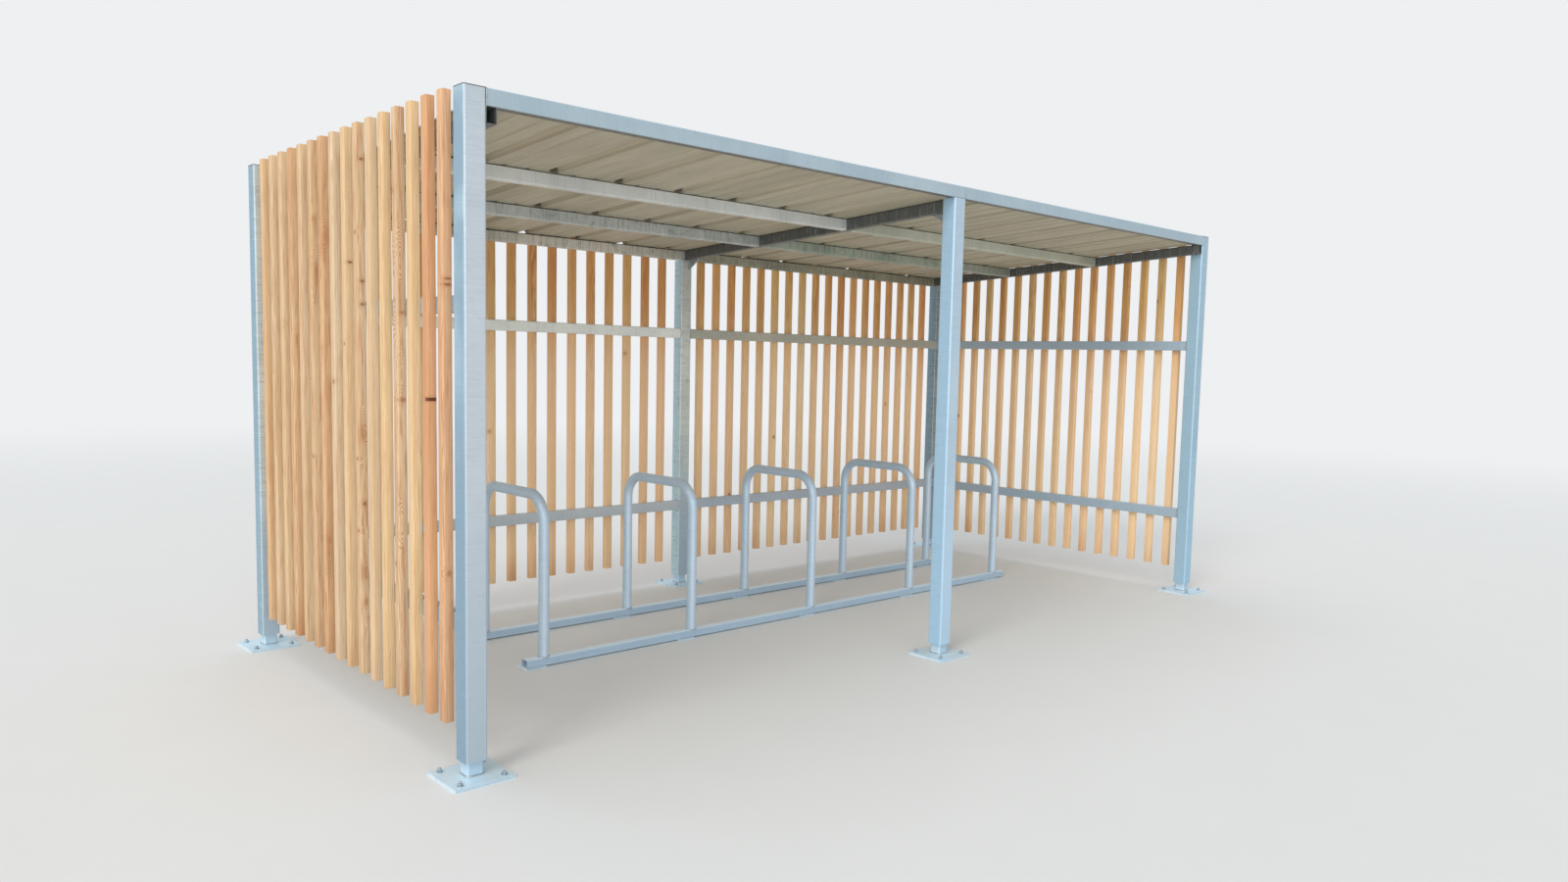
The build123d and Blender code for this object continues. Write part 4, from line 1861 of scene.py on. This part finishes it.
def left_wall_knots() -> tuple[Knot, ...]:
    """Knots on the outside of the left wall, each at its place on the shelter.

    Returns:
        The knots, in the order of their marks.
    """
    low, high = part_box("slats_left")
    width, thickness = SlatWall.width, SlatWall.thickness
    pitch = (high.y - low.y - width) / (len(LEFT_TONES) - 1)
    knots = []
    for mark in LEFT_KNOTS:
        front_face = low.y + (mark.batten - 1) * pitch
        if mark.on_front:
            place = (low.x + thickness * 0.55, front_face, mark.height)
        else:
            place = (low.x, front_face + width / 2, mark.height)
        knots.append(Knot(place, mark.half_width, mark.half_height, mark.dark, mark.pull, mark.straight))
    return tuple(knots)


def mixed_tones(count: int, seed: int, shares: Sequence[float] = MIXED_SHARES) -> list[Tone]:
    """Tones in a random order.

    Args:
        count: Number of battens.
        seed: Start of the random order.
        shares: How common each tone is, in the order of the named tones.

    Returns:
        One tone for each batten.
    """
    draw = random.Random(seed)
    return draw.choices(list(Tone), weights=shares, k=count)


# Zinc of the posts and the feet.
BLUE_ZINC = Galvanised(
    "blue_zinc", pale=shade(191, 210, 222), deep=shade(179, 199, 215), stain=shade(152, 170, 184),
    low=shade(188, 218, 240), painted_side=shade(173, 210, 236), streak=0.24, tarnish=0.16,
    corner_highlight=0.08, dust_height=0.05, painted_side_light_share=0.1,
)
# Darker copy for the front right post: painted shade.
SHADED_ZINC = replace(
    BLUE_ZINC, name="shaded_zinc", pale=shade(168, 195, 210), deep=shade(157, 186, 204),
    stain=shade(136, 158, 176), low=shade(162, 200, 221), painted_side=shade(165, 199, 220),
)
# Lighter tops of the foot plates: painted light.
FOOT_ZINC = replace(
    BLUE_ZINC, name="foot_zinc", low=shade(178, 204, 220), painted_side=shade(190, 214, 230),
    above=shade(206, 230, 244),
)
BRIGHT_ZINC = Galvanised(
    "bright_zinc", pale=shade(200, 208, 215), deep=shade(191, 200, 208), stain=shade(156, 166, 174),
    low=shade(172, 189, 201), painted_side=shade(139, 168, 187), streak=0.26, tarnish=0.16,
    corner_highlight=0.0, dust_height=0.05, painted_side_light_share=0.85,
)
WEATHERED_ZINC = Galvanised(
    "weathered_zinc", pale=shade(218, 220, 212), deep=shade(196, 198, 190), stain=shade(146, 148, 140),
    low=shade(156, 182, 202), painted_side=shade(188, 216, 224), streak=0.50, tarnish=0.45,
    specks=0.25, dust_height=0.05,
)
LEFT_BACK_ZINC = replace(WEATHERED_ZINC, name="left_back_zinc", painted_side=shade(146, 178, 196), painted_side_light_share=0.1)
# Darker copy for the back right post: painted shade.
SHADED_RIGHT_BACK_ZINC = replace(
    WEATHERED_ZINC, name="shaded_right_back_zinc", pale=shade(150, 154, 150), deep=shade(130, 134, 130),
    stain=shade(100, 102, 98), painted_side=shade(134, 160, 174), painted_side_light_share=0.0,
)

# Zinc of the front beams and the wall rails.
# Front beams: the darker undersides are painted shade.
BEAM_ZINC = Galvanised(
    "beam_zinc", pale=shade(180, 197, 205), deep=shade(166, 185, 195), stain=shade(142, 154, 162),
    low=shade(180, 197, 205), painted_side=shade(160, 172, 180), streak=0.16, tarnish=0.14,
    below=shade(112, 112, 108),
)
RAIL_ZINC = Galvanised(
    "rail_zinc", pale=shade(204, 214, 222), deep=shade(188, 200, 210), stain=shade(146, 158, 168),
    low=shade(194, 212, 230), painted_side=shade(173, 194, 210), streak=0.30, tarnish=0.25, painted_side_light_share=0.1,
)
# Lighter copy for the left back rails: painted light.
LIT_LEFT_RAIL_ZINC = replace(
    RAIL_ZINC, name="lit_left_rail_zinc", pale=shade(244, 244, 234), deep=shade(230, 232, 224),
    stain=shade(180, 182, 176), low=shade(138, 154, 174),
)
# Darker, warmer copy for the right back rails: painted shade.
SHADED_RIGHT_RAIL_ZINC = replace(
    RAIL_ZINC, name="shaded_right_rail_zinc", pale=shade(192, 188, 171), deep=shade(178, 176, 162),
    stain=shade(140, 138, 126), low=shade(184, 204, 230),
)

# Zinc below the roof sheets. The right bay's copies and the rafters' zinc are darker, as painted shade; the
# left back beam's copy is lighter, as painted light.
PURLIN_ZINC = Galvanised(
    "purlin_zinc", pale=shade(230, 232, 228), deep=shade(212, 214, 210), stain=shade(162, 164, 158),
    low=shade(230, 232, 228), painted_side=shade(190, 194, 192), streak=0.30, tarnish=0.22,
    corner_highlight=0.0, painted_top_shadow=0.8,
)
SHADED_PURLIN_ZINC = replace(
    PURLIN_ZINC, name="shaded_purlin_zinc", pale=shade(204, 206, 190), deep=shade(188, 190, 175),
    stain=shade(144, 146, 132),
)
SPECKLED_ZINC = Galvanised(
    "speckled_zinc", pale=shade(210, 214, 210), deep=shade(180, 184, 180), stain=shade(112, 114, 110),
    low=shade(210, 214, 210), painted_side=shade(166, 170, 168), streak=0.80, tarnish=0.60,
    specks=0.45, corner_highlight=0.0, painted_top_shadow=0.8,
)
SHADED_SPECKLED_ZINC = replace(
    SPECKLED_ZINC, name="shaded_speckled_zinc", pale=shade(184, 193, 179), deep=shade(157, 166, 153),
    stain=shade(98, 103, 93),
)
LIT_BEAM_ZINC = replace(
    SPECKLED_ZINC, name="lit_beam_zinc", pale=shade(228, 221, 207), deep=shade(196, 190, 177),
    stain=shade(122, 118, 108),
)
SHADED_BEAM_ZINC = replace(
    SPECKLED_ZINC, name="shaded_beam_zinc", pale=shade(172, 169, 148), deep=shade(147, 145, 126),
    stain=shade(92, 90, 78),
)
SHADED_RAFTER_ZINC = Galvanised(
    "shaded_rafter_zinc", pale=shade(118, 121, 119), deep=shade(98, 100, 99), stain=shade(69, 71, 69),
    low=shade(118, 121, 119), painted_side=shade(100, 103, 102), streak=0.60, tarnish=0.55,
    specks=0.4, corner_highlight=0.0, painted_top_shadow=0.8, painted_side_light_share=0.0,
)

# Zinc of the rack.
HOOP_ZINC = Galvanised(
    "rack_zinc", pale=shade(200, 216, 230), deep=shade(180, 198, 214), stain=shade(152, 168, 182),
    low=shade(204, 220, 234), painted_side=shade(180, 202, 218), streak=0.30, tarnish=0.25,
    corner_highlight=0.0, dust_height=0.02,
)
# Lighter tops of the base rails: painted light.
BASE_RAIL_ZINC = replace(
    HOOP_ZINC, name="base_rail_zinc", pale=shade(174, 196, 213), deep=shade(157, 179, 198),
    low=shade(180, 203, 222), above=shade(228, 245, 255), corner_highlight=0.2,
)

# Small fittings, weld beads, dark strips of painted gap shadow, and sealing washers.
FITTING = PlainMetal("zinc_fitting", shade(184, 198, 208), shade(142, 154, 162), 0.6, (0.34, 0.52))
WELD = PlainMetal("zinc_weld", shade(186, 194, 200), shade(150, 158, 164), 0.45, (0.45, 0.62))
GAP_SHADOW = PlainMetal("painted_gap_shadow", shade(72, 76, 80), shade(54, 56, 60), 0.2, (0.6, 0.8))
RUBBER = PlainMetal("sealing_rubber", shade(52, 52, 54), shade(40, 40, 42), 0.0, (0.6, 0.8))

FRAME_MEMBERS = (
    Member("post_front_left", BRIGHT_ZINC, Run.ALONG_Z),
    Member("post_front_middle", BLUE_ZINC, Run.ALONG_Z),
    Member("post_front_right", SHADED_ZINC, Run.ALONG_Z),
    Member("post_back_left", LEFT_BACK_ZINC, Run.ALONG_Z),
    Member("post_back_middle", WEATHERED_ZINC, Run.ALONG_Z),
    Member("post_back_right", SHADED_RIGHT_BACK_ZINC, Run.ALONG_Z),
    Member("foot_", FOOT_ZINC, Run.ALONG_Z),
    Member("front_beam", BEAM_ZINC, Run.ALONG_X),
    Member("back_rails_left", LIT_LEFT_RAIL_ZINC, Run.ALONG_X),
    Member("back_rails_right", SHADED_RIGHT_RAIL_ZINC, Run.ALONG_X),
    Member("side_rails", RAIL_ZINC, Run.ALONG_Y),
)

ROOF_MEMBERS = (
    Member("rafter_", SHADED_RAFTER_ZINC, Run.ALONG_Y),
    Member("rafter_haunches", SPECKLED_ZINC, Run.ALONG_Y),
    Member("purlin_front_left", PURLIN_ZINC, Run.ALONG_X),
    Member("purlin_front_right", SHADED_PURLIN_ZINC, Run.ALONG_X),
    Member("purlin_back_left", SPECKLED_ZINC, Run.ALONG_X),
    Member("purlin_back_right", SHADED_SPECKLED_ZINC, Run.ALONG_X),
    Member("back_beam_left", LIT_BEAM_ZINC, Run.ALONG_X),
    Member("back_beam_right", SHADED_BEAM_ZINC, Run.ALONG_X),
)


def build_frame(fitting: bpy.types.Material, weld: bpy.types.Material) -> None:
    """Dress posts, feet, front beams and wall rails, and build their fittings.

    Args:
        fitting: Finish of the anchors.
        weld: Finish of the weld beads.
    """
    posts = Frame(FRAME_MEMBERS, fitting, weld)
    posts.dress_bars()
    posts.anchors()
    posts.foot_welds()
    posts.rail_welds()
    posts.beam_gap_shadows(GAP_SHADOW.build())
    LOG.info("frame dressed")


def build_roof(fitting: bpy.types.Material, weld: bpy.types.Material) -> None:
    """Dress the roof frame, the sheets and the post caps, and build welds and screws.

    Args:
        fitting: Finish of the screws.
        weld: Finish of the weld beads.
    """
    roof_frame = RoofFrame(ROOF_MEMBERS, fitting, weld)
    roof_frame.dress_bars()
    roof_frame.roof_welds()
    LOG.info("roof frame dressed")

    sheets = RoofSheets(RUBBER.build(), fitting)
    sheets.dress_sheets()
    sheets.screws()
    LOG.info("roof sheets dressed")

    dress("post_caps", MouldedPlastic().build())
    LOG.info("caps dressed")


def build_walls() -> None:
    """Build the four slat walls."""
    back = Larch("planed_larch_back", painted_low_light=0.52, outward_axis=1).build()
    right = Larch("planed_larch_right", painted_low_light=0.58).build()
    left = Larch("planed_larch_left", left_wall_knots()).build()
    left_back_tones = mixed_tones(18, 43, RUDDY_SHARES)
    right_back_tones = mixed_tones(18, 44, RUDDY_SHARES)
    SlatWall("slats_left", True, left, LEFT_TONES, LEFT_FIGURE, seed=1).build()
    SlatWall("slats_right", True, right, mixed_tones(16, 42), (0.2, 0.35, 0.1, 0.5), seed=2).build()
    SlatWall("slats_back_left", False, back, left_back_tones, (0.15, 0.4, 0.25), seed=3).build()
    SlatWall("slats_back_right", False, back, right_back_tones, (0.3, 0.1, 0.45, 0.2), seed=4).build()
    LOG.info("slat walls built")


def main() -> None:
    """Dress the frame, build the pieces and set up the studio."""
    logging.basicConfig(level=logging.INFO, format="%(name)s %(message)s")
    fitting = FITTING.build()
    weld = WELD.build()
    build_frame(fitting, weld)
    build_roof(fitting, weld)
    build_walls()

    rack = HoopRack(HOOP_ZINC, BASE_RAIL_ZINC, fitting, weld)
    rack.dress_rack()
    rack.fittings()
    LOG.info("rack dressed")

    Studio().build()


if __name__ == "__main__":
    main()
